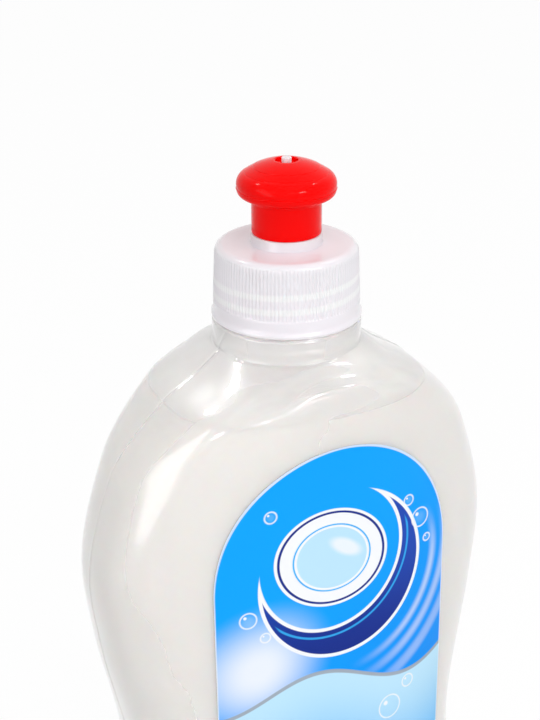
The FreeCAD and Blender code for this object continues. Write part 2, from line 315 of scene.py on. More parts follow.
@dataclass(frozen=True)
class MilkyPlastic:
    """Natural, clouded plastic: it blurs what lies behind it and has a glossy skin."""

    name: str
    tint: Colour
    clear_share: float
    light_share: float
    blur: float
    skin_roughness: float
    skin_ior: float
    haze: float
    grain: float

    def material(self) -> bpy.types.Material:
        """Blurred clear plastic with white in it, moulding marks and a sharp gloss.

        Returns:
            The material.
        """
        board = NodeBoard(self.name)
        cloud = board.noise(90.0, 3.0)
        marks = board.noise(500.0, 2.0, (1.0, 1.0, 0.3))
        colour = board.mix(cloud, tuple(c * (1 - self.haze) for c in self.tint), self.tint)
        rough = board.math("MULTIPLY_ADD", marks, 0.06, self.blur - 0.03)
        skin = board.bump(marks, self.grain)
        shader = board.principled(
            Base_Color=colour, Roughness=rough, IOR=1.45, Transmission_Weight=self.clear_share,
            Coat_Weight=1.0, Coat_Roughness=self.skin_roughness, Coat_IOR=self.skin_ior,
            Normal=skin, Coat_Normal=skin,
        )
        return board.finish(lit_through(board, shader, self.tint, self.light_share))


@dataclass(frozen=True)
class ThreadedPlastic:
    """Natural plastic of the cap, with painted light: whiter bands are painted where the thread lies behind
    the wall, standing in for light scattered in the thicker plastic.
    """

    name: str
    tint: Colour
    band: Colour
    clear_share: float
    light_share: float
    bleed: float
    base_z: float
    # band: painted light colour, whiter where the thread thickens the wall
    thread: Thread
    half_painted_light_band: float

    def material(self) -> bpy.types.Material:
        """Cloudy white plastic with a satin skin and soft bands of painted light along the thread.

        Returns:
            The material.
        """
        board = NodeBoard(self.name)
        marks = board.noise(700.0, 2.0, (1.0, 1.0, 0.3))
        shade = tuple(c * 0.97 for c in self.tint)
        colour = board.mix(board.noise(110.0, 3.0), shade, self.tint)
        # Painted light: the band colour lightens the skirt over the thread, standing in for light scattered
        # in the thicker wall.
        colour = board.mix(board.math("MULTIPLY", self.painted_thread_light_mask(board), 0.85), colour, self.band)
        skin = board.bump(marks, 0.003 * MM)
        shader = board.principled(
            Base_Color=colour, Roughness=board.math("MULTIPLY_ADD", marks, 0.06, 0.27), IOR=1.45,
            Transmission_Weight=self.clear_share, Subsurface_Weight=self.bleed, Subsurface_Scale=0.0015,
            Subsurface_Radius=(1.0, 0.9, 0.9),
            Coat_Weight=0.7, Coat_Roughness=0.12, Coat_IOR=1.45, Normal=skin, Coat_Normal=skin,
        )
        return board.finish(lit_through(board, shader, self.tint, self.light_share))

    def painted_thread_light_mask(self, board: NodeBoard) -> bpy.types.NodeSocket:
        """Mask of the painted light bands: 1 over the middle of the thread, fading to its sides.

        Args:
            board: The material's nodes.

        Returns:
            The mask's socket.
        """
        split = board.add("ShaderNodeSeparateXYZ")
        board.feed(split.inputs[0], board.add("ShaderNodeTexCoord").outputs["Object"])
        angle = board.math("ARCTAN2", split.outputs[1], split.outputs[0])
        share = board.math("FRACT", board.math("DIVIDE", angle, TAU))
        rise = board.math("SUBTRACT", split.outputs[2], self.base_z + self.thread.start_z)
        along = board.math("SUBTRACT", board.math("DIVIDE", rise, self.thread.pitch), share)
        off = board.math("ABSOLUTE", board.math("SUBTRACT", along, board.math("ROUND", along)))
        half = self.half_painted_light_band / self.thread.pitch
        band = board.step(off, half, 0.3 * half)
        begun = board.step(along, -0.45, -0.3)
        ended = board.step(board.math("ADD", along, share), self.thread.turns + 0.1, self.thread.turns)
        return board.math("MULTIPLY", band, board.math("MULTIPLY", begun, ended))


@dataclass(frozen=True)
class GlossyPlastic:
    """Opaque coloured plastic straight from a polished mould."""

    name: str
    colour: Colour
    shade: Colour
    roughness: float
    specular: float
    ior: float
    grain: float

    def material(self) -> bpy.types.Material:
        """Colour that drifts very slightly, with faint flow marks.

        Returns:
            The material.
        """
        board = NodeBoard(self.name)
        drift = board.noise(120.0, 2.0)
        flow = board.noise(600.0, 2.0, (1.0, 1.0, 0.25))
        colour = board.mix(drift, self.shade, self.colour)
        shader = board.principled(
            Base_Color=colour, Roughness=board.math("MULTIPLY_ADD", flow, 0.06, self.roughness - 0.03),
            IOR=self.ior, Specular_IOR_Level=self.specular, Normal=board.bump(flow, self.grain),
        )
        return board.finish(shader)


@dataclass(frozen=True)
class SoapFinish:
    """White opaque soap, seen through the wall."""

    name: str
    colour: Colour
    deep: Colour

    def material(self) -> bpy.types.Material:
        """Creamy white with the faintest clouding.

        Returns:
            The material.
        """
        board = NodeBoard(self.name)
        cloud = board.noise(25.0, 3.0)
        shader = board.principled(
            Base_Color=board.mix(cloud, self.deep, self.colour), Roughness=0.35, IOR=1.35,
            Subsurface_Weight=0.3, Subsurface_Scale=0.004,
        )
        return board.finish(shader)


@dataclass(frozen=True)
class FoamFinish:
    """Soft white foam of the seal."""

    name: str
    colour: Colour

    def material(self) -> bpy.types.Material:
        """Matt white with fine cells.

        Returns:
            The material.
        """
        board = NodeBoard(self.name)
        cells = board.noise(4000.0, 2.0)
        shade = tuple(c * 0.85 for c in self.colour)
        shader = board.principled(
            Base_Color=board.mix(cells, shade, self.colour), Roughness=0.8,
            Normal=board.bump(cells, 0.05 * MM),
        )
        return board.finish(shader)


@dataclass(frozen=True)
class LabelPrint:
    """Printed film: a sky-blue field with a plate in a crescent, rings, bubbles and a wave."""

    name: str
    side: Side
    half_width: float
    spring_z: float
    sky: Colour = srgb(0, 164, 255)
    deep_sky: Colour = srgb(0, 143, 246)
    navy: Colour = srgb(16, 44, 138)
    mid_blue: Colour = srgb(52, 178, 250)
    ice: Colour = srgb(190, 230, 252)
    white: Colour = srgb(246, 248, 252)
    silver: Colour = srgb(160, 172, 186)

    def material(self) -> bpy.types.Material:
        """Draws the print in millimetres across (x) and up (y) the label.

        Returns:
            The material.
        """
        board = NodeBoard(self.name)
        x, y = self.millimetres(board)
        colour = self.field(board, x, y)
        if self.side is Side.FRONT:
            colour = self.rings(board, colour, x, y)
            colour = self.wave(board, colour, x, y)
            colour = self.crescent(board, colour, x, y)
            colour = self.plate(board, colour, x, y)
            colour = self.bubbles(board, colour, x, y)
        else:
            colour = self.panels(board, colour, x, y)
        colour = self.border(board, colour, x, y)
        gloss = board.noise(300.0, 1.0)
        shader = board.principled(
            Base_Color=colour, Roughness=board.math("MULTIPLY_ADD", gloss, 0.04, 0.3), IOR=1.45,
            Specular_IOR_Level=0.15,
        )
        return board.finish(shader)

    def millimetres(self, board: NodeBoard) -> tuple:
        """Sockets with the place on the label, in millimetres.

        Args:
            board: The material's nodes.

        Returns:
            Sockets with the place across and up.
        """
        split = board.add("ShaderNodeSeparateXYZ")
        board.feed(split.inputs[0], board.add("ShaderNodeTexCoord").outputs["Object"])
        across = 1000.0 if self.side is Side.FRONT else -1000.0
        return (
            board.math("MULTIPLY", split.outputs[0], across),
            board.math("MULTIPLY", split.outputs[2], 1000.0),
        )

    @staticmethod
    def distance(board: NodeBoard, x: object, y: object, centre: tuple[float, float],
                 stretch: float = 1.0, turn: float = 0.0) -> bpy.types.NodeSocket:
        """Distance from a centre, in a turned frame whose height is stretched.

        Args:
            board: The material's nodes.
            x: Place across.
            y: Place up.
            centre: Centre of the shape.
            stretch: How much flatter than a circle the shape is.
            turn: Turn of the shape in degrees.

        Returns:
            A socket with the distance in millimetres.
        """
        dx = board.math("SUBTRACT", x, centre[0])
        dy = board.math("SUBTRACT", y, centre[1])
        cos, sin = math.cos(math.radians(turn)), math.sin(math.radians(turn))
        along = board.math("ADD", board.math("MULTIPLY", dx, cos), board.math("MULTIPLY", dy, sin))
        up = board.math("SUBTRACT", board.math("MULTIPLY", dy, cos), board.math("MULTIPLY", dx, sin))
        up = board.math("MULTIPLY", up, stretch)
        squares = board.math("ADD", board.math("POWER", board.math("ABSOLUTE", along), 2.0),
                             board.math("POWER", board.math("ABSOLUTE", up), 2.0))
        return board.math("SQRT", squares)

    @staticmethod
    def band(board: NodeBoard, value: object, middle: float, half: float,
             soft: float) -> bpy.types.NodeSocket:
        """A mask that is 1 within half of the middle, with soft edges."""
        away = board.math("ABSOLUTE", board.math("SUBTRACT", value, middle))
        return board.math("SUBTRACT", 1.0, board.step(away, half - soft, half + soft))

    def field(self, board: NodeBoard, x: object, y: object) -> bpy.types.NodeSocket:
        """The blue ground, deeper towards the lower right, with a white glow low on the left.

        Args:
            board: The material's nodes.
            x: Socket with the place across, in millimetres.
            y: Socket with the place up, in millimetres.

        Returns:
            Socket with the colour after it.
        """
        slope = board.math("SUBTRACT", board.math("MULTIPLY", y, 0.55), board.math("MULTIPLY", x, 0.5))
        colour = board.mix(board.step(slope, 30.0, 72.0), self.deep_sky, self.sky)
        glow = board.step(self.distance(board, x, y, (-19.0, 99.0), 1.2, 30.0), 19.0, 2.0)
        return board.mix(board.math("MULTIPLY", glow, 0.9), colour, self.white)

    def rings(self, board: NodeBoard, colour: object, x: object, y: object) -> bpy.types.NodeSocket:
        """Soft pale rings that spread over the lower right of the field.

        Args:
            board: The material's nodes.
            colour: Socket with the colour so far.
            x: Socket with the place across, in millimetres.
            y: Socket with the place up, in millimetres.

        Returns:
            Socket with the colour after it.
        """
        distance = self.distance(board, x, y, (1.0, 117.0), 1.0)
        fade = board.math("MULTIPLY", board.step(x, 2.0, 20.0), board.step(y, 128.0, 112.0))
        for radius, half, strength in ((23.5, 0.7, 0.5), (27.0, 0.9, 0.4), (31.0, 1.2, 0.3)):
            ring = self.band(board, distance, radius, half, 0.8)
            share = board.math("MULTIPLY", board.math("MULTIPLY", ring, fade), strength)
            colour = board.mix(share, colour, self.white)
        return colour

    def wave(self, board: NodeBoard, colour: object, x: object, y: object) -> bpy.types.NodeSocket:
        """Pale water below a wavy crest with a silver edge.

        Args:
            board: The material's nodes.
            colour: Socket with the colour so far.
            x: Socket with the place across, in millimetres.
            y: Socket with the place up, in millimetres.

        Returns:
            Socket with the colour after it.
        """
        swing = board.math("SINE", board.math("MULTIPLY_ADD", x, 0.13, 2.4))
        crest = board.math("MULTIPLY_ADD", swing, 3.6, 91.0)
        below = board.math("SUBTRACT", crest, y)
        water = board.mix(board.step(below, 0.0, 34.0), self.ice, self.mid_blue)
        colour = board.mix(board.step(below, -0.15, 0.15), colour, water)
        second = board.math("SINE", board.math("MULTIPLY_ADD", x, 0.09, 0.6))
        ridge = board.math("SUBTRACT", board.math("MULTIPLY_ADD", second, 4.5, 66.0), y)
        colour = board.mix(board.math("MULTIPLY", board.step(ridge, 0.0, 1.2), 0.45), colour, self.sky)
        return board.mix(self.band(board, below, 0.0, 0.45, 0.15), colour, self.silver)

    def crescent(self, board: NodeBoard, colour: object, x: object, y: object) -> bpy.types.NodeSocket:
        """A navy crescent that cradles the plate, white-edged, with a light line inside.

        Args:
            board: The material's nodes.
            colour: Socket with the colour so far.
            x: Socket with the place across, in millimetres.
            y: Socket with the place up, in millimetres.

        Returns:
            Socket with the colour after it.
        """
        outer = board.math("SUBTRACT", 19.6, self.distance(board, x, y, (1.0, 117.0), 1.0))
        inner = board.math("SUBTRACT", self.distance(board, x, y, (-1.6, 121.6), 1.0), 16.6)
        edge = board.math("MINIMUM", outer, inner)
        colour = board.mix(board.step(edge, -0.12, 0.12), colour, self.white)
        body = board.mix(board.step(y, 98.0, 122.0), self.navy, srgb(30, 72, 178))
        colour = board.mix(board.step(edge, 0.7, 0.9), colour, body)
        line = self.band(board, inner, 2.2, 0.25, 0.12)
        within = board.step(outer, 1.4, 1.9)
        share = board.math("MULTIPLY", board.math("MULTIPLY", line, within), 0.8)
        return board.mix(share, colour, self.mid_blue)

    def plate(self, board: NodeBoard, colour: object, x: object, y: object) -> bpy.types.NodeSocket:
        """A clean dinner plate seen at a slant, rimmed in navy and white.

        Args:
            board: The material's nodes.
            colour: Socket with the colour so far.
            x: Socket with the place across, in millimetres.
            y: Socket with the place up, in millimetres.

        Returns:
            Socket with the colour after it.
        """
        distance = self.distance(board, x, y, (-1.6, 121.6), 1.2, -16.0)
        for radius, shade in (
            (13.6, self.white), (12.9, self.navy), (12.3, self.white), (9.4, self.mid_blue),
            (9.0, self.white), (8.4, self.ice),
        ):
            inside = board.step(distance, radius + 0.12, radius - 0.12)
            colour = board.mix(inside, colour, shade)
        shine = self.distance(board, x, y, (1.6, 123.4), 2.4, -32.0)
        glint = board.math("MULTIPLY", board.step(shine, 5.5, 2.5), 0.8)
        return board.mix(glint, colour, self.white)

    def bubbles(self, board: NodeBoard, colour: object, x: object, y: object) -> bpy.types.NodeSocket:
        """Soap bubbles: thin pale rings with a bright spot.

        Args:
            board: The material's nodes.
            colour: Socket with the colour so far.
            x: Socket with the place across, in millimetres.
            y: Socket with the place up, in millimetres.

        Returns:
            Socket with the colour after it.
        """
        for place_x, place_y, radius in (
            (20.6, 124.5, 2.2), (17.4, 129.6, 1.2), (22.6, 119.0, 0.9), (-20.8, 111.5, 1.8),
            (-17.2, 106.6, 1.1), (12.5, 80.0, 2.8), (17.6, 84.6, 1.5), (-15.5, 134.4, 1.3),
            (-8.0, 62.0, 2.2),
        ):
            distance = self.distance(board, x, y, (place_x, place_y))
            ring = self.band(board, distance, radius, 0.16, 0.16)
            body = board.math("MULTIPLY", board.step(distance, radius, radius * 0.2), 0.18)
            colour = board.mix(body, colour, self.ice)
            colour = board.mix(board.math("MULTIPLY", ring, 0.85), colour, self.white)
            spot = self.distance(board, x, y, (place_x - radius * 0.38, place_y + radius * 0.42))
            colour = board.mix(board.step(spot, radius * 0.28, radius * 0.1), colour, self.white)
        return colour

    def panels(self, board: NodeBoard, colour: object, x: object, y: object) -> bpy.types.NodeSocket:
        """Back label: two pale blank panels with plain rules, and the plate's ring.

        Args:
            board: The material's nodes.
            colour: Socket with the colour so far.
            x: Socket with the place across, in millimetres.
            y: Socket with the place up, in millimetres.

        Returns:
            Socket with the colour after it.
        """
        for centre_y, half_height in ((104.0, 22.0), (50.0, 22.0)):
            off_x = board.math("SUBTRACT", board.math("ABSOLUTE", x), 21.0)
            above = board.math("ABSOLUTE", board.math("SUBTRACT", y, centre_y))
            off_y = board.math("SUBTRACT", above, half_height)
            outside = board.math("MAXIMUM", off_x, off_y)
            panel = board.step(outside, 0.15, -0.15)
            colour = board.mix(panel, colour, self.white)
            rules = board.math("PINGPONG", y, 1.6)
            line = board.math("MULTIPLY", board.step(rules, 0.5, 0.3), board.step(outside, -2.5, -2.8))
            colour = board.mix(board.math("MULTIPLY", line, 0.4), colour, self.silver)
        ring = self.distance(board, x, y, (0.0, 137.0), 1.28, 0.0)
        colour = board.mix(board.step(ring, 5.2, 5.0), colour, self.white)
        colour = board.mix(board.step(ring, 4.7, 4.5), colour, self.navy)
        return board.mix(board.step(ring, 3.6, 3.4), colour, self.ice)

    def border(self, board: NodeBoard, colour: object, x: object, y: object) -> bpy.types.NodeSocket:
        """The thin pale edge where the film was cut.

        Args:
            board: The material's nodes.
            colour: Socket with the colour so far.
            x: Socket with the place across, in millimetres.
            y: Socket with the place up, in millimetres.

        Returns:
            Socket with the colour after it.
        """
        arch = self.distance(board, x, y, (0.0, self.spring_z * 1000.0), 0.94)
        upper = board.math("GREATER_THAN", y, self.spring_z * 1000.0)
        side = board.math("MULTIPLY", board.math("ABSOLUTE", x), board.math("SUBTRACT", 1.0, upper))
        reach = board.math("ADD", board.math("MULTIPLY", arch, upper), side)
        half = self.half_width * 1000.0
        edge = board.step(reach, half - 0.3, half - 0.12)
        return board.mix(board.math("MULTIPLY", edge, 0.7), colour, self.white)


def object_from(bm: bmesh.types.BMesh, name: str, material: bpy.types.Material,
                sharp_degrees: float = 40.0) -> bpy.types.Object:
    """Finished object of a bmesh: doubles merged, normals outward, smooth.

    Args:
        bm: The mesh, which is freed.
        name: Name of the object.
        material: Its material.
        sharp_degrees: Edges that turn more than this stay sharp.

    Returns:
        The linked object, at the origin.
    """
    bmesh.ops.remove_doubles(bm, verts=bm.verts, dist=0.002 * MM)
    bmesh.ops.dissolve_degenerate(bm, edges=bm.edges, dist=0.001 * MM)
    bmesh.ops.recalc_face_normals(bm, faces=bm.faces)
    mesh = bpy.data.meshes.new(name)
    bm.to_mesh(mesh)
    bm.free()
    mesh.polygons.foreach_set("use_smooth", [True] * len(mesh.polygons))
    mesh.set_sharp_from_angle(angle=math.radians(sharp_degrees))
    mesh.materials.append(material)
    piece = bpy.data.objects.new(name, mesh)
    bpy.context.scene.collection.objects.link(piece)
    return piece


def wrapped(columns: int, rows: int, place: Place) -> bmesh.types.BMesh:
    """A grid that is wrapped round the axis into a closed skin.

    Args:
        columns: Faces around.
        rows: Faces from the first ring to the last.
        place: Gives the place of a grid corner from its column and row.

    Returns:
        The mesh, with its seam still open.
    """
    bm = bmesh.new()
    bmesh.ops.create_grid(bm, x_segments=columns, y_segments=rows, size=0.5)
    for vert in bm.verts:
        column = round((vert.co.x + 0.5) * columns)
        row = round((vert.co.y + 0.5) * rows)
        vert.co = place(column, row)
    return bm


def turned(outline: Sequence[tuple[float, float]], steps: int) -> bmesh.types.BMesh:
    """Spins an outline of (radius, height) corners a full turn about Z.

    Args:
        outline: Corners in order, closed back to the first.
        steps: Faces around.

    Returns:
        The spun mesh.
    """
    bm = bmesh.new()
    corners = [bm.verts.new((radius, 0.0, height)) for radius, height in outline]
    for first, second in zip(corners, corners[1:] + corners[:1]):
        bm.edges.new((first, second))
    bmesh.ops.spin(
        bm, geom=bm.verts[:] + bm.edges[:], cent=(0, 0, 0), axis=(0, 0, 1), angle=TAU,
        steps=steps, use_merge=True,
    )
    return bm


def arc(centre: tuple[float, float], radius: float, start: float, end: float, count: int = 6) -> list:
    """Points on an arc in the (radius, height) plane, angles in degrees."""
    angles = [math.radians(start + (end - start) * k / count) for k in range(count + 1)]
    return [(centre[0] + radius * math.cos(a), centre[1] + radius * math.sin(a)) for a in angles]


def bulge(start: tuple[float, float], middle: tuple[float, float], end: tuple[float, float],
          count: int = 12) -> list:
    """Points on the circle through three points, from the first to the last.

    Args:
        start: First point, as (radius, height).
        middle: A point on the way.
        end: Last point.
        count: Steps from the first to the last.

    Returns:
        The points in order.
    """
    (ax, ay), (bx, by), (cx, cy) = start, middle, end
    d = 2 * (ax * (by - cy) + bx * (cy - ay) + cx * (ay - by))
    a2, b2, c2 = ax * ax + ay * ay, bx * bx + by * by, cx * cx + cy * cy
    ux = (a2 * (by - cy) + b2 * (cy - ay) + c2 * (ay - by)) / d
    uy = (a2 * (cx - bx) + b2 * (ax - cx) + c2 * (bx - ax)) / d
    first = math.atan2(ay - uy, ax - ux)
    mid = (math.atan2(by - uy, bx - ux) - first) % TAU
    last = (math.atan2(cy - uy, cx - ux) - first) % TAU
    sweep = last if mid < last else last - TAU
    radius = math.hypot(ax - ux, ay - uy)
    angles = [first + sweep * k / count for k in range(count + 1)]
    return [(ux + radius * math.cos(a), uy + radius * math.sin(a)) for a in angles]


@dataclass(frozen=True)
class Section:
    """One level of the blown body."""

    z: float
    half_width: float
    half_depth: float
    squareness: float


@dataclass
class BodyForm:
    """The outside of the bottle as a formula, and surfaces parallel to it."""

    sections: tuple[Section, ...] = (
        Section(7.0 * MM, 41.4 * MM, 27.0 * MM, 2.55),
        Section(32.0 * MM, 42.2 * MM, 27.6 * MM, 2.55),
        Section(65.0 * MM, 39.4 * MM, 26.6 * MM, 2.55),
        Section(100.0 * MM, 45.1 * MM, 24.0 * MM, 2.55),
        Section(115.0 * MM, 46.7 * MM, 23.3 * MM, 2.55),
        Section(139.0 * MM, 41.0 * MM, 22.8 * MM, 2.55),
        Section(154.0 * MM, 28.4 * MM, 22.8 * MM, 2.85),
        Section(159.0 * MM, 20.4 * MM, 21.9 * MM, 2.3),
        Section(162.5 * MM, 15.8 * MM, 15.8 * MM, 2.0),
    )
    heel_radius: float = 7.0 * MM
    line_room: float = 0.16 * MM
    neck_radius: float = 15.5 * MM
    push_up_height: float = 3.0 * MM
    push_up_half_width: float = 27.0 * MM
    push_up_half_depth: float = 15.0 * MM

    def top(self) -> float:
        """Height where the shoulder meets the neck."""
        return self.sections[-1].z

    def slopes(self, values: Sequence[float]) -> list[float]:
        """Slopes of a smooth curve through one column of the sections.

        Args:
            values: One value for each section.

        Returns:
            One slope for each section.
        """
        heights = [section.z for section in self.sections]
        steps = [(b - a) / (h - g) for g, h, a, b in zip(heights, heights[1:], values, values[1:])]
        inner = [2 * p * q / (p + q) if p * q > 0 else 0.0 for p, q in zip(steps, steps[1:])]
        return [steps[0], *inner, steps[-1]]

    def value(self, z: float, name: str) -> float:
        """One size of the section at a height, between the listed sections.

        Args:
            z: Height.
            name: Field of the section.

        Returns:
            The size there.
        """
        values = [getattr(section, name) for section in self.sections]
        if z <= self.sections[0].z:
            return values[0]
        if z >= self.top():
            return values[-1]
        k = max(i for i, section in enumerate(self.sections[:-1]) if section.z <= z)
        tangents = self.slopes(values)
        span = self.sections[k + 1].z - self.sections[k].z
        t = (z - self.sections[k].z) / span
        rest = 1 - t
        ends = values[k] * (1 + 2 * t) * rest ** 2 + values[k + 1] * (3 - 2 * t) * t ** 2
        return ends + span * t * rest * (tangents[k] * rest - tangents[k + 1] * t)

    def half(self, z: float, name: str) -> float:
        """Half width or half depth of the outside, heel and neck included.

        Args:
            z: Height.
            name: half_width or half_depth.

        Returns:
            The size there.
        """
        if z > self.top():
            return self.neck_radius
        value = self.value(z, name)
        if name == "half_width":
            value -= self.line_room * min(1.0, (self.top() - z) / self.heel_radius)
        if z < self.heel_radius:
            drop = self.heel_radius - max(z, 0.0)
            value -= self.heel_radius - math.sqrt(self.heel_radius ** 2 - drop ** 2)
        return value

    def parallel(self, z: float, name: str, offset: float) -> float:
        """The same size on the surface that lies the offset inside (negative) or outside.

        Args:
            z: Height.
            name: half_width or half_depth.
            offset: How far outside the real surface.

        Returns:
            The size there.
        """
        if offset == 0.0:
            return self.half(z, name)
        reach = abs(offset)
        sign = 1 if offset > 0 else -1
        rises = [reach * k / 8 for k in range(-8, 9) if z + reach * k / 8 >= 0]
        sizes = [self.half(z + rise, name) + sign * math.sqrt(reach ** 2 - rise ** 2) for rise in rises]
        return max(sizes) if sign > 0 else min(sizes)

    def ring(self, z: float, offset: float, angles: Sequence[float]) -> list[Vector]:
        """Points round the body at a height.

        Args:
            z: Height.
            offset: How far outside the real surface.
            angles: Angles of the points.

        Returns:
            One point for each angle.
        """
        half_width = self.parallel(z, "half_width", offset)
        half_depth = self.parallel(z, "half_depth", offset)
        power = self.value(z, "squareness")
        points = []
        for angle in angles:
            c, s = math.cos(angle), math.sin(angle)
            push = (abs(c) ** power + abs(s) ** power) ** (-1 / power)
            points.append(Vector((half_width * push * c, half_depth * push * s, z)))
        return points

    def front_y(self, x: float, z: float, offset: float = 0.0) -> float:
        """Depth of the front surface behind a place seen from the front (negative).

        Args:
            x: Place across.
            z: Height.
            offset: How far outside the real surface.

        Returns:
            The depth there.
        """
        power = self.value(z, "squareness")
        share = min(abs(x) / self.parallel(z, "half_width", offset), 0.98)
        return -self.parallel(z, "half_depth", offset) * (1 - share ** power) ** (1 / power)

    def floor_rise(self, point: Vector, extra: float) -> float:
        """Height of the push-up dome over a place on the foot.

        Args:
            point: Place on the foot.
            extra: How much larger the dome is.

        Returns:
            The dome's height there.
        """
        across = point.x / (self.push_up_half_width + extra)
        inside = 1 - across ** 2 - (point.y / (self.push_up_half_depth + extra)) ** 2
        return (self.push_up_height + extra) * math.sqrt(inside) if inside > 0 else 0.0


@dataclass
class ShoulderChannel:
    """The arched channel pressed over the front and the back of the shoulder."""

    form: BodyForm
    tool_radius: float = 6.0 * MM
    depth: float = 0.75 * MM
    crown_z: float = 160.7 * MM
    end_z: float = 151.5 * MM
    half_span: float = 27.0 * MM
    fade: float = 1.6 * MM
    softness: float = 0.12 * MM
    samples: int = 90
    path: list[Vector] = field(default_factory=list)

    def __post_init__(self) -> None:
        """Works out the middle line of the round tool."""
        for k in range(self.samples + 1):
            share = 2 * k / self.samples - 1
            x = self.half_span * share
            z = self.crown_z - (self.crown_z - self.end_z) * share ** 2
            lift = self.tool_radius - self.depth + self.fade * share ** 4
            self.path.append(self.lifted(x, z, lift))

    def lifted(self, x: float, z: float, lift: float) -> Vector:
        """Point outside the front surface, along its normal.

        Args:
            x: Place across.
            z: Height.
            lift: Distance from the surface.

        Returns:
            The lifted point.
        """
        step = 0.2 * MM
        across = Vector((2 * step, self.form.front_y(x + step, z) - self.form.front_y(x - step, z), 0))
        up = Vector((0, self.form.front_y(x, z + step) - self.form.front_y(x, z - step), 2 * step))
        normal = across.cross(up).normalized()
        if normal.y > 0:
            normal = -normal
        return Vector((x, self.form.front_y(x, z), z)) + normal * lift

    def pressed(self, point: Vector, extra: float) -> Vector:
        """Where a point of the surface lies once the channel is pressed in.

        Args:
            point: Point of the plain surface.
            extra: How much fatter the tool is, for the inside of the wall.

        Returns:
            The point, moved away from the tool if the tool reaches it.
        """
        sign = -1.0 if point.y > 0 else 1.0
        probe = Vector((sign * point.x, sign * point.y, point.z))
        nearest = min(self.path, key=lambda p: (p - probe).length_squared)
        away = probe - nearest
        radius = self.tool_radius + extra
        reach = radius - away.length
        if reach < -6 * self.softness:
            return point
        push = self.softness * math.log1p(math.exp(max(min(reach / self.softness, 40.0), -40.0)))
        moved = probe + away.normalized() * push
        return Vector((sign * moved.x, sign * moved.y, moved.z))


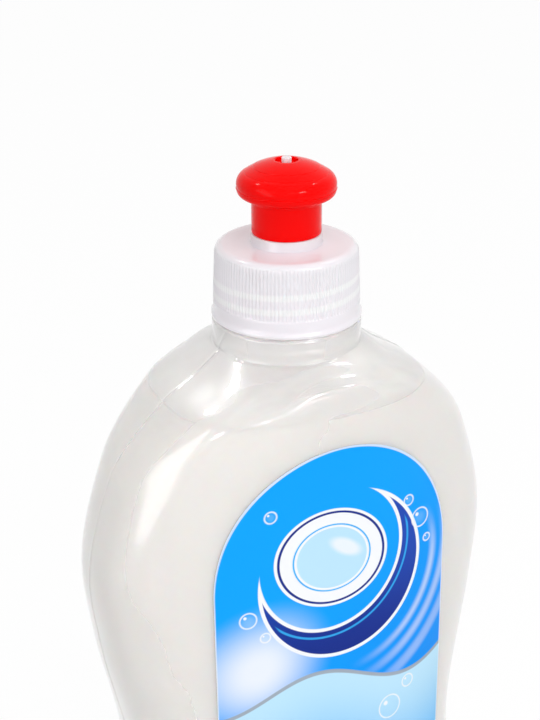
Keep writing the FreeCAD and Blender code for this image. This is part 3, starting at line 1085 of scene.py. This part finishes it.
@dataclass
class BlownBottle:
    """The blown bottle: pressed body, mould line, neck with its thread, and its hollow."""

    form: BodyForm
    channel: ShoulderChannel
    finish: MilkyPlastic
    wall: float = 1.1 * MM
    columns: int = 264
    neck_height: float = 5.1 * MM
    cove: float = 0.7 * MM
    finish_radius: float = 12.7 * MM
    finish_top_z: float = 180.9 * MM
    bore_radius: float = 11.2 * MM
    neck_wall: float = 1.4 * MM
    thread: Thread = NECK_THREAD
    thread_rows: int = 54
    neck_edge: float = 0.3 * MM
    rim_edge: float = 0.25 * MM
    shoulder_z: float = 142.0 * MM
    pressed_from_z: float = 140.0 * MM
    mould_line_height: float = 0.15 * MM
    mould_line_half: float = 0.34 * MM
    neck_line_swing: float = 14.0

    def angles(self) -> list[float]:
        """Angles of the columns: even, with fine ones beside the mould line.

        Returns:
            The angles in order.
        """
        even = [TAU * k / self.columns for k in range(self.columns)]
        fine = []
        for centre in (0.0, math.pi):
            for offset in (0.004, 0.009, 0.014, 0.020):
                fine += [(centre + offset) % TAU, (centre - offset) % TAU]
        near = 0.7 * TAU / self.columns
        kept = [a for a in even if abs(math.sin(a)) < 1e-9 or abs(math.sin(a)) > math.sin(near)]
        return sorted(kept + fine)

    def outer_levels(self) -> list[float]:
        """Heights of the rings up the outside, close together over the shoulder.

        Returns:
            The heights from the foot up.
        """
        heel = [self.form.heel_radius * (1 - math.cos(math.pi / 2 * k / 8)) for k in range(8)]
        reach = self.shoulder_z - self.form.heel_radius
        low = [self.form.heel_radius + reach * k / 62 for k in range(62)]
        shoulder = [self.shoulder_z + (self.form.top() - self.shoulder_z) * k / 50 for k in range(51)]
        return heel + low + shoulder

    def mould_line(self, point: Vector) -> Vector:
        """Raises the fine line where the halves of the mould met; on the neck it swings forward.

        Args:
            point: Point of the outside.

        Returns:
            The raised point.
        """
        swing = min(max((point.z - self.form.top() - 1.0 * MM) / self.neck_height, 0.0), 1.0)
        off = point.y + math.sin(math.radians(self.neck_line_swing) * swing) * abs(point.x)
        bump = math.exp(-(off / self.mould_line_half) ** 2) * self.mould_line_height
        return point + Vector((math.copysign(bump, point.x), 0, bump * 0.6))

    def outer_ring(self, z: float, angles: Sequence[float]) -> list[Vector]:
        """Ring of the body's outside with the channel, the mould line and the foot's dome.

        Args:
            z: Height of the ring.
            angles: Angles of its points.

        Returns:
            The ring's points.
        """
        ring = []
        for point in self.form.ring(z, 0.0, angles):
            if z > self.pressed_from_z:
                point = self.channel.pressed(point, 0.0)
            ring.append(self.mould_line(point) if z > self.form.heel_radius else point)
        return ring

    def inner_ring(self, z: float, angles: Sequence[float], extra: float = 0.0) -> list[Vector]:
        """Ring of the hollow inside, or of what fills it, the extra smaller.

        Args:
            z: Height of the ring.
            angles: Angles of its points.
            extra: How much thicker the wall counts.

        Returns:
            The ring's points.
        """
        inset = self.wall + extra
        ring = []
        for point in self.form.ring(z, -inset, angles):
            if z > self.pressed_from_z:
                point = self.channel.pressed(point, inset)
            rise = self.form.floor_rise(point, inset)
            ring.append(Vector((point.x, point.y, max(point.z, rise))))
        return ring

    def circle(self, radius: float, z: float, angles: Sequence[float],
               threaded: bool = False) -> list[Vector]:
        """Round ring of the neck, with the thread on it where asked.

        Args:
            radius: Radius of the plain wall.
            z: Height of the ring.
            angles: Angles of its points.
            threaded: Whether the thread stands on it.

        Returns:
            The ring's points.
        """
        ring = []
        for angle in angles:
            r = radius + (self.thread.stand(angle, z) if threaded else 0.0)
            ring.append(Vector((r * math.cos(angle), r * math.sin(angle), z)))
        return ring

    def foot_rings(self, angles: Sequence[float], inset: float, count: int) -> list[list[Vector]]:
        """Rings from the middle of the foot out to its edge, domed in the middle.

        Args:
            angles: Angles of the points.
            inset: Distance inside the outer surface.
            count: Number of rings.

        Returns:
            The rings from the middle out.
        """
        base_z = inset
        edge = self.form.ring(base_z, -inset, angles)
        rings = []
        for k in range(count):
            share = k / count
            ring = []
            for point in edge:
                flat = Vector((point.x * share, point.y * share, base_z))
                ring.append(Vector((flat.x, flat.y, max(base_z, self.form.floor_rise(flat, inset)))))
            rings.append(ring)
        return rings

    def rings(self, angles: Sequence[float]) -> list[list[Vector]]:
        """All rings in order: foot, outside, neck, thread, rim, bore, hollow, floor.

        Args:
            angles: Angles of the points.

        Returns:
            The rings in order.
        """
        top = self.form.top()
        neck_top = top + self.neck_height
        neck_r = self.form.neck_radius
        rings = self.foot_rings(angles, 0.0, 22)
        rings += [self.outer_ring(z, angles) for z in self.outer_levels()]
        for k in range(1, 8):
            sweep = math.pi / 2 * k / 7
            rings.append([self.mould_line(p) for p in self.circle(
                neck_r + (self.form.sections[-1].half_width - neck_r) * (1 - math.sin(sweep)),
                top + self.cove * (1 - math.cos(sweep)), angles)])
        for k in range(1, 19):
            z = top + self.cove + (self.neck_height - self.cove - self.neck_edge) * k / 18
            rings.append([self.mould_line(p) for p in self.circle(neck_r, z, angles)])
        rings.append(self.circle(neck_r - self.neck_edge, neck_top, angles))
        rings.append(self.circle(self.finish_radius + self.neck_edge, neck_top, angles))
        for k in range(self.thread_rows + 1):
            share = k / self.thread_rows
            z = neck_top + self.neck_edge + (self.finish_top_z - 2 * self.neck_edge - neck_top) * share
            rings.append(self.circle(self.finish_radius, z, angles, threaded=True))
        rings.append(self.circle(self.finish_radius - self.neck_edge, self.finish_top_z, angles))
        rings.append(self.circle(self.bore_radius + self.rim_edge, self.finish_top_z, angles))
        bore_end_z = neck_top - self.neck_wall + 0.6 * MM
        for z in (self.finish_top_z - self.rim_edge, neck_top + 3 * MM, bore_end_z):
            rings.append(self.circle(self.bore_radius, z, angles))
        for z in (neck_top - self.neck_wall - 0.6 * MM, top + 1.2 * MM, top - 0.1 * MM):
            rings.append(self.circle(neck_r - self.neck_wall, z, angles))
        rings += self.hollow_rings(angles, 0.0, top - 0.3 * MM)
        return rings

    def hollow_rings(self, angles: Sequence[float], extra: float, top: float) -> list[list[Vector]]:
        """Rings down the inside from a height to the middle of the floor.

        Args:
            angles: Angles of the points.
            extra: How much thicker the wall counts.
            top: Height of the first ring.

        Returns:
            The rings from the top down.
        """
        inset = self.wall + extra
        levels = [top - (top - self.shoulder_z) * k / 24 for k in range(24)]
        levels += [self.shoulder_z - (self.shoulder_z - self.form.heel_radius) * k / 40 for k in range(40)]
        heel = self.form.heel_radius - inset
        levels += [inset + heel * (1 - math.cos(math.pi / 2 * k / 6)) for k in range(6, 0, -1)]
        rings = [self.inner_ring(z, angles, extra) for z in levels]
        return rings + list(reversed(self.foot_rings(angles, inset, 16)))

    def build(self) -> bpy.types.Object:
        """The whole wall as one closed skin.

        Returns:
            The bottle.
        """
        angles = self.angles()
        rings = self.rings(angles)
        count = len(angles)
        bm = wrapped(count, len(rings) - 1, lambda column, row: rings[row][column % count])
        piece = object_from(bm, "blown_bottle", self.finish.material(), 80.0)
        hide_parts("bottle")
        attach(piece, Body.CONTAINER.value)
        log.info("blown bottle: %d rings of %d", len(rings), count)
        return piece


@dataclass
class Soap:
    """The soap that fills the bottle up to its level."""

    bottle: BlownBottle
    finish: SoapFinish
    level_z: float = 153.0 * MM
    overlap: float = 0.25 * MM
    columns: int = 264

    def build(self) -> bpy.types.Object:
        """Closed solid with a flat top that creeps up a little at the wall.

        Returns:
            The soap.
        """
        angles = [TAU * k / self.columns for k in range(self.columns)]
        rings = []
        rim = self.bottle.inner_ring(self.level_z, angles, -self.overlap)
        for share, drop in ((0.0, 0.35), (0.5, 0.35), (0.85, 0.33), (0.94, 0.26), (0.98, 0.14)):
            rings.append([Vector((p.x * share, p.y * share, p.z - drop * MM)) for p in rim])
        rings += self.bottle.hollow_rings(angles, -self.overlap, self.level_z)
        bm = wrapped(self.columns, len(rings) - 1, lambda column, row: rings[row][column % self.columns])
        piece = object_from(bm, "soap_fill", self.finish.material(), 60.0)
        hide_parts("liquid_soap")
        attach(piece, Body.CONTAINER.value)
        log.info("soap: level at %.1f mm", self.level_z / MM)
        return piece


@dataclass
class Label:
    """A printed film on one side of the body."""

    form: BodyForm
    side: Side
    half_width: float = 27.7 * MM
    top_z: float = 146.6 * MM
    arch_height: float = 29.6 * MM
    bottom_z: float = 18.0 * MM
    corner: float = 6.0 * MM
    gap: float = 0.02 * MM
    thickness: float = 0.12 * MM
    arch_power: float = 2.05
    columns: int = 60

    def spring_z(self) -> float:
        """Height where the arch begins."""
        return self.top_z - self.arch_height

    def half_at(self, z: float) -> float:
        """Half width of the film at a height.

        Args:
            z: Height.

        Returns:
            The half width there.
        """
        if z > self.spring_z():
            share = min((z - self.spring_z()) / self.arch_height, 1.0)
            return self.half_width * max(1 - share ** self.arch_power, 0.0) ** (1 / self.arch_power)
        low = self.corner - (z - self.bottom_z)
        if low > 0:
            return self.half_width - self.corner + math.sqrt(max(self.corner ** 2 - low ** 2, 0.0))
        return self.half_width

    def levels(self) -> list[float]:
        """Heights of the rows, close together at the corners and the top of the arch.

        Returns:
            The heights from the lower edge up.
        """
        corner = [self.bottom_z + self.corner * (1 - math.cos(math.pi / 2 * k / 10)) for k in range(10)]
        low = self.bottom_z + self.corner
        side = [low + (self.spring_z() - low) * k / 40 for k in range(40)]
        arch = [self.spring_z() + self.arch_height * math.sin(math.pi / 2 * k / 48) for k in range(49)]
        return corner + side + arch

    def build(self) -> bpy.types.Object:
        """The film as a thin closed sheet that follows the body.

        Returns:
            The film.
        """
        levels = self.levels()
        turn = 1.0 if self.side is Side.FRONT else -1.0
        outside = self.gap + self.thickness

        def place(column: int, row: int) -> tuple[float, float, float]:
            """Corner of the film's face.

            Args:
                column: Column of the corner.
                row: Row of the corner.

            Returns:
                The corner's place.
            """
            z = levels[row]
            x = self.half_at(z) * (2 * column / self.columns - 1)
            y = self.form.front_y(x, z) - outside
            return turn * x, turn * y, z

        bm = wrapped(self.columns, len(levels) - 1, place)
        bmesh.ops.remove_doubles(bm, verts=bm.verts, dist=0.002 * MM)
        for face in bm.faces:
            if face.normal.y * turn > 0:
                face.normal_flip()
        bm.normal_update()
        bmesh.ops.solidify(bm, geom=bm.faces[:], thickness=self.thickness)
        side = self.side.name.lower()
        name = side + "_film"
        printed = LabelPrint("label_print_" + side, self.side, self.half_width, self.spring_z())
        piece = object_from(bm, name, printed.material(), 50.0)
        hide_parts(side + "_label")
        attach(piece, Body.CONTAINER.value)
        log.info("%s: %d rows", name, len(levels))
        return piece


@dataclass
class ScrewCap:
    """The screw cap: lip, band, ribbed grip, deck, spout seat, post, webs, pin and thread."""

    finish: ThreadedPlastic
    base_z: float = 168.0 * MM
    bore_radius: float = 13.95 * MM
    lip_radius: float = 15.6 * MM
    lip_z: float = 0.5 * MM
    lip_edge_radius: float = 15.3 * MM
    band_radius: float = 15.2 * MM
    band_bottom_z: float = 1.7 * MM
    band_top_z: float = 3.2 * MM
    grip_top_radius: float = 14.75 * MM
    grip_top_z: float = 13.5 * MM
    deck_z: float = 15.3 * MM
    deck_fillet: float = 1.8 * MM
    deck_under_z: float = 13.9 * MM
    seat_radius: float = 7.35 * MM
    seat_z: float = 17.45 * MM
    post_radius: float = 5.55 * MM
    post_flange: float = 5.95 * MM
    flange_under_z: float = 23.35 * MM
    post_top_z: float = 24.35 * MM
    post_bore: float = 4.3 * MM
    pin_radius: float = 1.02 * MM
    pin_root_radius: float = 1.7 * MM
    pin_root_length: float = 1.6 * MM
    pin_top_z: float = 33.01 * MM
    web_thickness: float = 1.1 * MM
    web_height: float = 1.6 * MM
    rib_count: int = 120
    rib_depth: float = 0.22 * MM
    rib_top_z: float = 14.4 * MM
    rib_columns: int = 6
    thread: Thread = CAP_THREAD
    bore_low_z: float = 0.3 * MM
    bore_high_z: float = 13.0 * MM
    band_ring_z: float = 2.6 * MM
    rows: int = 40

    def rib_cut(self, column: int, z: float) -> float:
        """Depth of the groove at a column and height; each runs out at its ends.

        Args:
            column: Column of the skin.
            z: Height above the lip.

        Returns:
            The depth there.
        """
        phase = (column % self.rib_columns) / self.rib_columns
        groove = 0.5 - 0.5 * math.cos(TAU * phase)
        depth = self.rib_depth * groove
        run_in = (z - self.band_top_z - 0.5 * MM * groove) / (0.25 * MM)
        run_out = (self.rib_top_z - z) / (0.5 * MM)
        return depth * max(0.0, min(run_in, run_out, 1.0))

    def outline(self) -> list[tuple[float, float, str]]:
        """Corners of the cap's section with what is on them: ribs, thread or nothing.

        Returns:
            The corners as (radius, height, kind).
        """
        plain = [(self.bore_radius + 0.3 * MM, 0.0), (self.lip_edge_radius - 0.15 * MM, 0.0)]
        plain += bulge((self.lip_edge_radius, 0.06 * MM), (self.lip_radius - 0.05 * MM, 0.22 * MM),
                       (self.lip_radius, self.lip_z), 4)
        plain += bulge((self.lip_radius - 0.02 * MM, self.lip_z + 0.25 * MM),
                       (self.band_radius + 0.1 * MM, 1.25 * MM), (self.band_radius, self.band_bottom_z), 4)
        plain.append((self.band_radius, self.band_ring_z))
        section = [(r, z, "") for r, z in plain]
        for k in range(self.rows + 1):
            share = (k / self.rows) ** 1.6
            z = self.band_top_z + (self.grip_top_z - self.band_top_z) * share
            r = self.band_radius + (self.grip_top_radius - self.band_radius) * share
            section.append((r, z, "ribs"))
        flat = self.grip_top_radius - self.deck_fillet
        rounding = arc((flat, self.deck_z - self.deck_fillet), self.deck_fillet, 4, 86, 10)
        section += [(r, z, "ribs") for r, z in rounding]
        deck = [(flat, self.deck_z)]
        deck += [(flat - 1.5 * MM, self.deck_z), (self.seat_radius + 0.4 * MM, self.deck_z)]
        deck.append((self.seat_radius + 0.1 * MM, self.deck_z + 0.1 * MM))
        deck.append((self.seat_radius, self.deck_z + 0.4 * MM))
        deck += arc((self.seat_radius - 0.2 * MM, self.seat_z - 0.2 * MM), 0.2 * MM, 0, 90, 3)
        deck += [(self.post_radius + 0.15 * MM, self.seat_z), (self.post_radius, self.seat_z + 0.15 * MM)]
        deck += [(self.post_radius, self.flange_under_z), (self.post_flange, self.flange_under_z)]
        deck += [(self.post_flange, self.post_top_z - 0.4 * MM), (self.post_radius, self.post_top_z)]
        deck += [(self.post_bore, self.post_top_z), (self.post_bore, self.deck_under_z)]
        deck.append((self.bore_radius - 0.3 * MM, self.deck_under_z))
        deck.append((self.bore_radius, self.deck_under_z - 0.3 * MM))
        section += [(r, z, "") for r, z in deck]
        for k in range(29):
            z = self.bore_high_z + (self.bore_low_z - self.bore_high_z) * k / 28
            section.append((self.bore_radius, z, "thread"))
        section.append((self.bore_radius + 0.3 * MM, 0.0, ""))
        return section

    def skin(self) -> bmesh.types.BMesh:
        """The cap's skin, wrapped round the axis.

        Returns:
            The mesh.
        """
        columns = self.rib_count * self.rib_columns
        section = self.outline()

        def place(column: int, row: int) -> tuple[float, float, float]:
            """Corner of the skin.

            Args:
                column: Column of the corner.
                row: Row of the corner.

            Returns:
                The corner's place.
            """
            radius, z, kind = section[row]
            angle = TAU * (column % columns) / columns
            if kind == "ribs":
                radius -= self.rib_cut(column, z)
            elif kind == "thread":
                radius -= self.thread.stand(angle, z)
            return radius * math.cos(angle), radius * math.sin(angle), self.base_z + z

        return wrapped(columns, len(section) - 1, place)

    def pin(self) -> bmesh.types.BMesh:
        """The pin that plugs the eye, with its small gate mark, and the webs that carry it.

        Returns:
            The mesh.
        """
        web_z = self.post_top_z - self.web_height
        tip = self.pin_top_z
        outline = [
            (0.0, web_z), (self.pin_root_radius, web_z), (self.pin_root_radius, self.post_top_z),
            (self.pin_radius, self.post_top_z + self.pin_root_length), (self.pin_radius, tip - 0.16 * MM),
            (self.pin_radius - 0.14 * MM, tip), (0.35 * MM, tip - 0.05 * MM), (0.2 * MM, tip - 0.12 * MM),
            (0.0, tip - 0.12 * MM),
        ]
        bm = turned([(r, self.base_z + z) for r, z in outline], 48)
        for k in range(3):
            web = bmesh.ops.create_cube(bm, size=1.0)["verts"]
            length = self.post_bore
            bmesh.ops.scale(bm, verts=web, vec=(length, self.web_thickness, self.web_height))
            middle_z = self.base_z + web_z + self.web_height / 2
            bmesh.ops.translate(bm, verts=web, vec=(length / 2 + 0.3 * MM, 0, middle_z))
            bmesh.ops.rotate(bm, verts=web, cent=(0, 0, 0), matrix=Matrix.Rotation(TAU * k / 3, 3, "Z"))
            edges = list({edge for vert in web for edge in vert.link_edges})
            bmesh.ops.bevel(bm, geom=edges, offset=0.12 * MM, offset_type="OFFSET", segments=2,
                            profile=0.5, affect="EDGES", material=-1)
        return bm

    def build(self) -> list[bpy.types.Object]:
        """The cap's skin and its pin, which stand for the one moulded piece.

        Returns:
            The skin and the pin.
        """
        material = self.finish.material()
        skin = object_from(self.skin(), "ribbed_cap", material, 38.0)
        pin = object_from(self.pin(), "centre_pin", material, 35.0)
        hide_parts("screw_cap")
        for piece in (skin, pin):
            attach(piece, Body.CLOSURE.value)
            log.info("%s: %d faces", piece.name, len(piece.data.polygons))
        return [skin, pin]


@dataclass
class PullSpout:
    """The red mushroom-headed spout, heights above its lower edge."""

    finish: GlossyPlastic
    base_z: float = 185.45 * MM
    sleeve_radius: float = 7.15 * MM
    bore_radius: float = 6.25 * MM
    bead_radius: float = 5.7 * MM
    head_z: float = 6.93 * MM
    rim_radius: float = 8.09 * MM
    rim_edge: float = 0.5 * MM
    rim_z: float = 7.78 * MM
    head_radius: float = 10.06 * MM
    lower_bulge: tuple[float, float] = (9.61 * MM, 8.05 * MM)
    equator_z: float = 9.34 * MM
    ridge: float = 0.12 * MM
    upper_bulge: tuple[float, float] = (9.86 * MM, 11.34 * MM)
    crown_outer_radius: float = 8.45 * MM
    crown_inner_radius: float = 6.7 * MM
    crown_step: float = 0.1 * MM
    crown_sphere: float = 15.85 * MM
    crown_apex_z: float = 15.21 * MM
    crown_edge_z: float = 12.77 * MM
    crown_z: float = 15.0 * MM
    eye_edge: float = 0.22 * MM
    eye_radius: float = 2.3 * MM
    eye_depth: float = 1.0 * MM
    orifice_radius: float = 1.17 * MM
    roof_z: float = 10.8 * MM
    roof_radius: float = 5.1 * MM
    steps: int = 144

    def crown(self, start: float, end: float, steps_down: int, count: int) -> list[tuple[float, float]]:
        """Points over the domed crown between two radii, lowered by some fine steps.

        Args:
            start: First radius.
            end: Last radius.
            steps_down: How many steps lower.
            count: Steps from the first to the last.

        Returns:
            The points in order.
        """
        points = []
        for k in range(count + 1):
            radius = start + (end - start) * k / count
            drop = self.crown_sphere - math.sqrt(self.crown_sphere ** 2 - radius ** 2)
            points.append((radius, self.crown_apex_z - drop - steps_down * self.crown_step))
        return points

    def outline(self) -> list[tuple[float, float]]:
        """Corners of the section, from the lower edge up the outside and down the inside.

        Returns:
            The corners as (radius, height).
        """
        r = self.sleeve_radius
        section = [(self.bore_radius, 0.0)]
        section += arc((r - 0.4 * MM, 0.4 * MM), 0.4 * MM, -90, 0, 5)
        section += arc((r + 0.25 * MM, self.head_z - 0.25 * MM), 0.25 * MM, 180, 90, 4)
        rim = (self.rim_radius - self.rim_edge, self.head_z + self.rim_edge)
        section += arc(rim, self.rim_edge, -90, 0, 6)
        section.append((self.rim_radius, self.rim_z - 0.04 * MM))
        low_ridge = (self.head_radius, self.equator_z - self.ridge)
        section += bulge((self.rim_radius + 0.04 * MM, self.rim_z), self.lower_bulge, low_ridge, 12)
        section += arc((self.head_radius, self.equator_z), self.ridge, -60, 60, 4)
        above_ridge = (self.head_radius - 0.01 * MM, self.equator_z + self.ridge + 0.02 * MM)
        section += bulge(above_ridge, self.upper_bulge,
                         (self.crown_outer_radius + 0.02 * MM, self.crown_edge_z - 2 * self.crown_step), 18)
        outer = self.crown_outer_radius - 0.02 * MM
        section += self.crown(outer, self.crown_inner_radius + 0.02 * MM, 1, 5)
        eye = (self.eye_radius + self.eye_edge, self.crown_z - self.eye_edge)
        section += self.crown(self.crown_inner_radius - 0.02 * MM, eye[0], 0, 10)[:-1]
        section += arc(eye, self.eye_edge, 90, 180, 4)
        floor = self.crown_z - self.eye_depth
        section += [(self.eye_radius, floor + 0.1 * MM), (self.eye_radius - 0.1 * MM, floor)]
        section += [(self.orifice_radius + 0.1 * MM, floor), (self.orifice_radius, floor - 0.1 * MM)]
        section += [(self.orifice_radius, floor - 0.9 * MM), (self.roof_radius, self.roof_z)]
        section += [(self.bore_radius, self.roof_z - 2 * MM), (self.bore_radius, 1.4 * MM)]
        section += [(self.bead_radius, 0.85 * MM), (self.bead_radius, 0.3 * MM)]
        return [(radius, self.base_z + z) for radius, z in section]

    def build(self) -> bpy.types.Object:
        """The spout as one turned skin.

        Returns:
            The spout.
        """
        piece = object_from(turned(self.outline(), self.steps), "red_spout", self.finish.material(), 32.0)
        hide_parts("pull_spout")
        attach(piece, Body.SPOUT.value)
        log.info("red spout: %d faces", len(piece.data.polygons))
        return piece


@dataclass
class SealRing:
    """The sealing ring, which keeps its own solid and gets its foam."""

    finish: FoamFinish

    def dress(self) -> None:
        """Gives the ring's solid its finish."""
        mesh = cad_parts["seal_ring"].data
        mesh.materials.clear()
        mesh.materials.append(self.finish.material())
        log.info("seal ring: dressed")


@dataclass(frozen=True)
class SoftBox:
    """A studio lamp with an even white face that looks at the bottle."""

    name: str
    azimuth: float
    elevation: float
    width: float
    height: float
    level: float
    role: Role
    lean: float = 0.0
    distance: float = 0.8
    aim: tuple[float, float, float] = (0.0, 0.0, 0.15)

    def build(self) -> bpy.types.Object:
        """The lamp, whose level is the brightness of its face: 1 is white.

        Returns:
            The lamp, at its azimuth from -Y towards +X and its elevation, in degrees.
        """
        lamp = bpy.data.lights.new(self.name, "AREA")
        lamp.shape = "RECTANGLE"
        lamp.size = self.width
        lamp.size_y = self.height
        lamp.energy = self.level * math.pi * self.width * self.height
        azimuth, elevation = math.radians(self.azimuth), math.radians(self.elevation)
        towards = Vector((math.sin(azimuth) * math.cos(elevation), -math.cos(azimuth) * math.cos(elevation),
                          math.sin(elevation)))
        lean = Matrix.Rotation(math.radians(self.lean), 3, "Z")
        turn = (-towards).to_track_quat("-Z", "Y").to_matrix() @ lean
        rig = bpy.data.objects.new(self.name, lamp)
        rig.location = Vector(self.aim) + towards * self.distance
        rig.rotation_euler = turn.to_euler()
        rig.visible_glossy = self.role is not Role.FILL
        rig.visible_diffuse = self.role is not Role.GLINT
        rig.visible_transmission = False
        bpy.context.scene.collection.objects.link(rig)
        return rig


@dataclass
class Studio:
    """Pale floor, white surroundings, lamps and the camera at the photograph's place."""

    floor_half: float = 3.0
    world_strength: float = 0.62
    floor_colour: Colour = (0.8, 0.8, 0.8)
    floor_lift: float = 0.9
    floor_white: float = 1.03
    camera_place: tuple[float, float, float] = (-127.90 * MM, -239.56 * MM, 278.61 * MM)
    camera_target: tuple[float, float, float] = (0.0, 0.0, 156.92 * MM)
    lens: float = 70.65
    shift_x: float = -16.54 / 720
    lamps: tuple[SoftBox, ...] = (
        SoftBox("left_box", -78.0, 12.0, 0.36, 0.78, 2.6, Role.GLINT, lean=32.0),
        SoftBox("front_box", 10.6, 28.5, 0.15, 0.10, 40.0, Role.GLINT),
        SoftBox("middle_lamp", -16.0, 30.0, 0.08, 0.05, 20.0, Role.GLINT),
        SoftBox("side_lamp", -59.0, 30.0, 0.08, 0.05, 12.0, Role.GLINT),
        SoftBox("back_left_lamp", -142.0, 54.0, 0.08, 0.08, 34.0, Role.GLINT),
        SoftBox("back_right_lamp", 93.0, 55.0, 0.09, 0.09, 34.0, Role.GLINT),
        SoftBox("top_fill", 5.0, 66.0, 0.60, 0.60, 1.7, Role.FILL),
        SoftBox("front_fill", -14.0, 20.0, 0.70, 0.50, 1.8, Role.FILL),
    )

    def floor(self) -> None:
        """The floor: it keeps the bottle's shadow, and the camera sees it nearly white."""
        bm = bmesh.new()
        bmesh.ops.create_grid(bm, x_segments=8, y_segments=8, size=self.floor_half)
        board = NodeBoard("pale_floor")
        plain = board.principled(Base_Color=self.floor_colour, Roughness=0.9)
        glow = board.add("ShaderNodeEmission")
        glow.inputs["Color"].default_value = (1.0, 1.0, 1.0, 1.0)
        glow.inputs["Strength"].default_value = self.floor_white
        paths = board.add("ShaderNodeLightPath")
        seen = board.math("MAXIMUM", paths.outputs["Is Camera Ray"],
                          board.math("MAXIMUM", paths.outputs["Is Glossy Ray"],
                                     paths.outputs["Is Transmission Ray"]))
        both = board.add("ShaderNodeMixShader")
        board.feed(both.inputs[0], board.math("MULTIPLY", seen, self.floor_lift))
        board.feed(both.inputs[1], plain.outputs[0])
        board.feed(both.inputs[2], glow.outputs[0])
        piece = object_from(bm, "studio_floor", board.finish(both))

    def world(self) -> None:
        """Even pale surroundings, plain white where the camera or a gloss sees them."""
        world = bpy.data.worlds.new("studio_white")
        bpy.context.scene.world = world
        world.use_nodes = True
        nodes, links = world.node_tree.nodes, world.node_tree.links
        nodes.clear()
        output = nodes.new("ShaderNodeOutputWorld")
        ground = nodes.new("ShaderNodeBackground")
        ground.inputs["Color"].default_value = (1.0, 1.0, 1.0, 1.0)
        paths = nodes.new("ShaderNodeLightPath")
        seen = nodes.new("ShaderNodeMath")
        seen.operation = "MAXIMUM"
        bent = nodes.new("ShaderNodeMath")
        bent.operation = "MAXIMUM"
        links.new(paths.outputs["Is Glossy Ray"], bent.inputs[0])
        links.new(paths.outputs["Is Transmission Ray"], bent.inputs[1])
        links.new(paths.outputs["Is Camera Ray"], seen.inputs[0])
        links.new(bent.outputs[0], seen.inputs[1])
        level = nodes.new("ShaderNodeMapRange")
        links.new(seen.outputs[0], level.inputs["Value"])
        level.inputs["To Min"].default_value = self.world_strength
        level.inputs["To Max"].default_value = 1.0
        links.new(level.outputs[0], ground.inputs["Strength"])
        links.new(ground.outputs[0], output.inputs["Surface"])

    def camera(self) -> None:
        """The camera at the fitted place, with the photograph's slight shift."""
        data = bpy.data.cameras.new("photo_camera")
        data.lens = self.lens
        data.sensor_width = 36.0
        data.shift_x = self.shift_x
        data.clip_start = 0.01
        rig = bpy.data.objects.new("photo_camera", data)
        rig.location = self.camera_place
        look = Vector(self.camera_target) - Vector(self.camera_place)
        rig.rotation_euler = look.to_track_quat("-Z", "Y").to_euler()
        bpy.context.scene.collection.objects.link(rig)
        bpy.context.scene.camera = rig

    def build(self) -> None:
        """The whole studio."""
        bpy.context.scene.view_settings.view_transform = "Standard"
        self.camera()
        self.floor()
        self.world()
        for lamp in self.lamps:
            lamp.build()
        log.info("studio: %d lamps", len(self.lamps))


def main() -> None:
    """Builds the studio and every sub-assembly in order."""
    logging.basicConfig(level=logging.INFO, format="%(name)s: %(message)s")
    Studio().build()
    form = BodyForm()
    natural = MilkyPlastic(
        "natural_plastic", srgb(250, 249, 248), clear_share=0.72, light_share=0.9, blur=0.22,
        skin_roughness=0.03, skin_ior=1.5, haze=0.02, grain=0.0015 * MM,
    )
    # The cap's second colour is painted light over the thread, standing in for light scattered in the
    # thicker wall.
    cap_plastic = ThreadedPlastic(
        "cap_plastic", srgb(246, 241, 247), srgb(255, 253, 255), clear_share=0.08, light_share=0.85,
        bleed=0.7, base_z=168.0 * MM, thread=CAP_THREAD, half_painted_light_band=0.95 * MM,
    )
    bottle = BlownBottle(form, ShoulderChannel(form), natural)
    bottle.build()
    Soap(bottle, SoapFinish("soap", srgb(241, 238, 235), srgb(238, 235, 231))).build()
    for side in Side:
        Label(form, side).build()
    ScrewCap(cap_plastic).build()
    red = GlossyPlastic("red_plastic", srgb(252, 2, 1), srgb(248, 1, 1), roughness=0.09, specular=0.11,
                        ior=1.4, grain=0.0012 * MM)
    PullSpout(red).build()
    SealRing(FoamFinish("seal_foam", srgb(236, 236, 234))).dress()


if __name__ == "__main__":
    main()
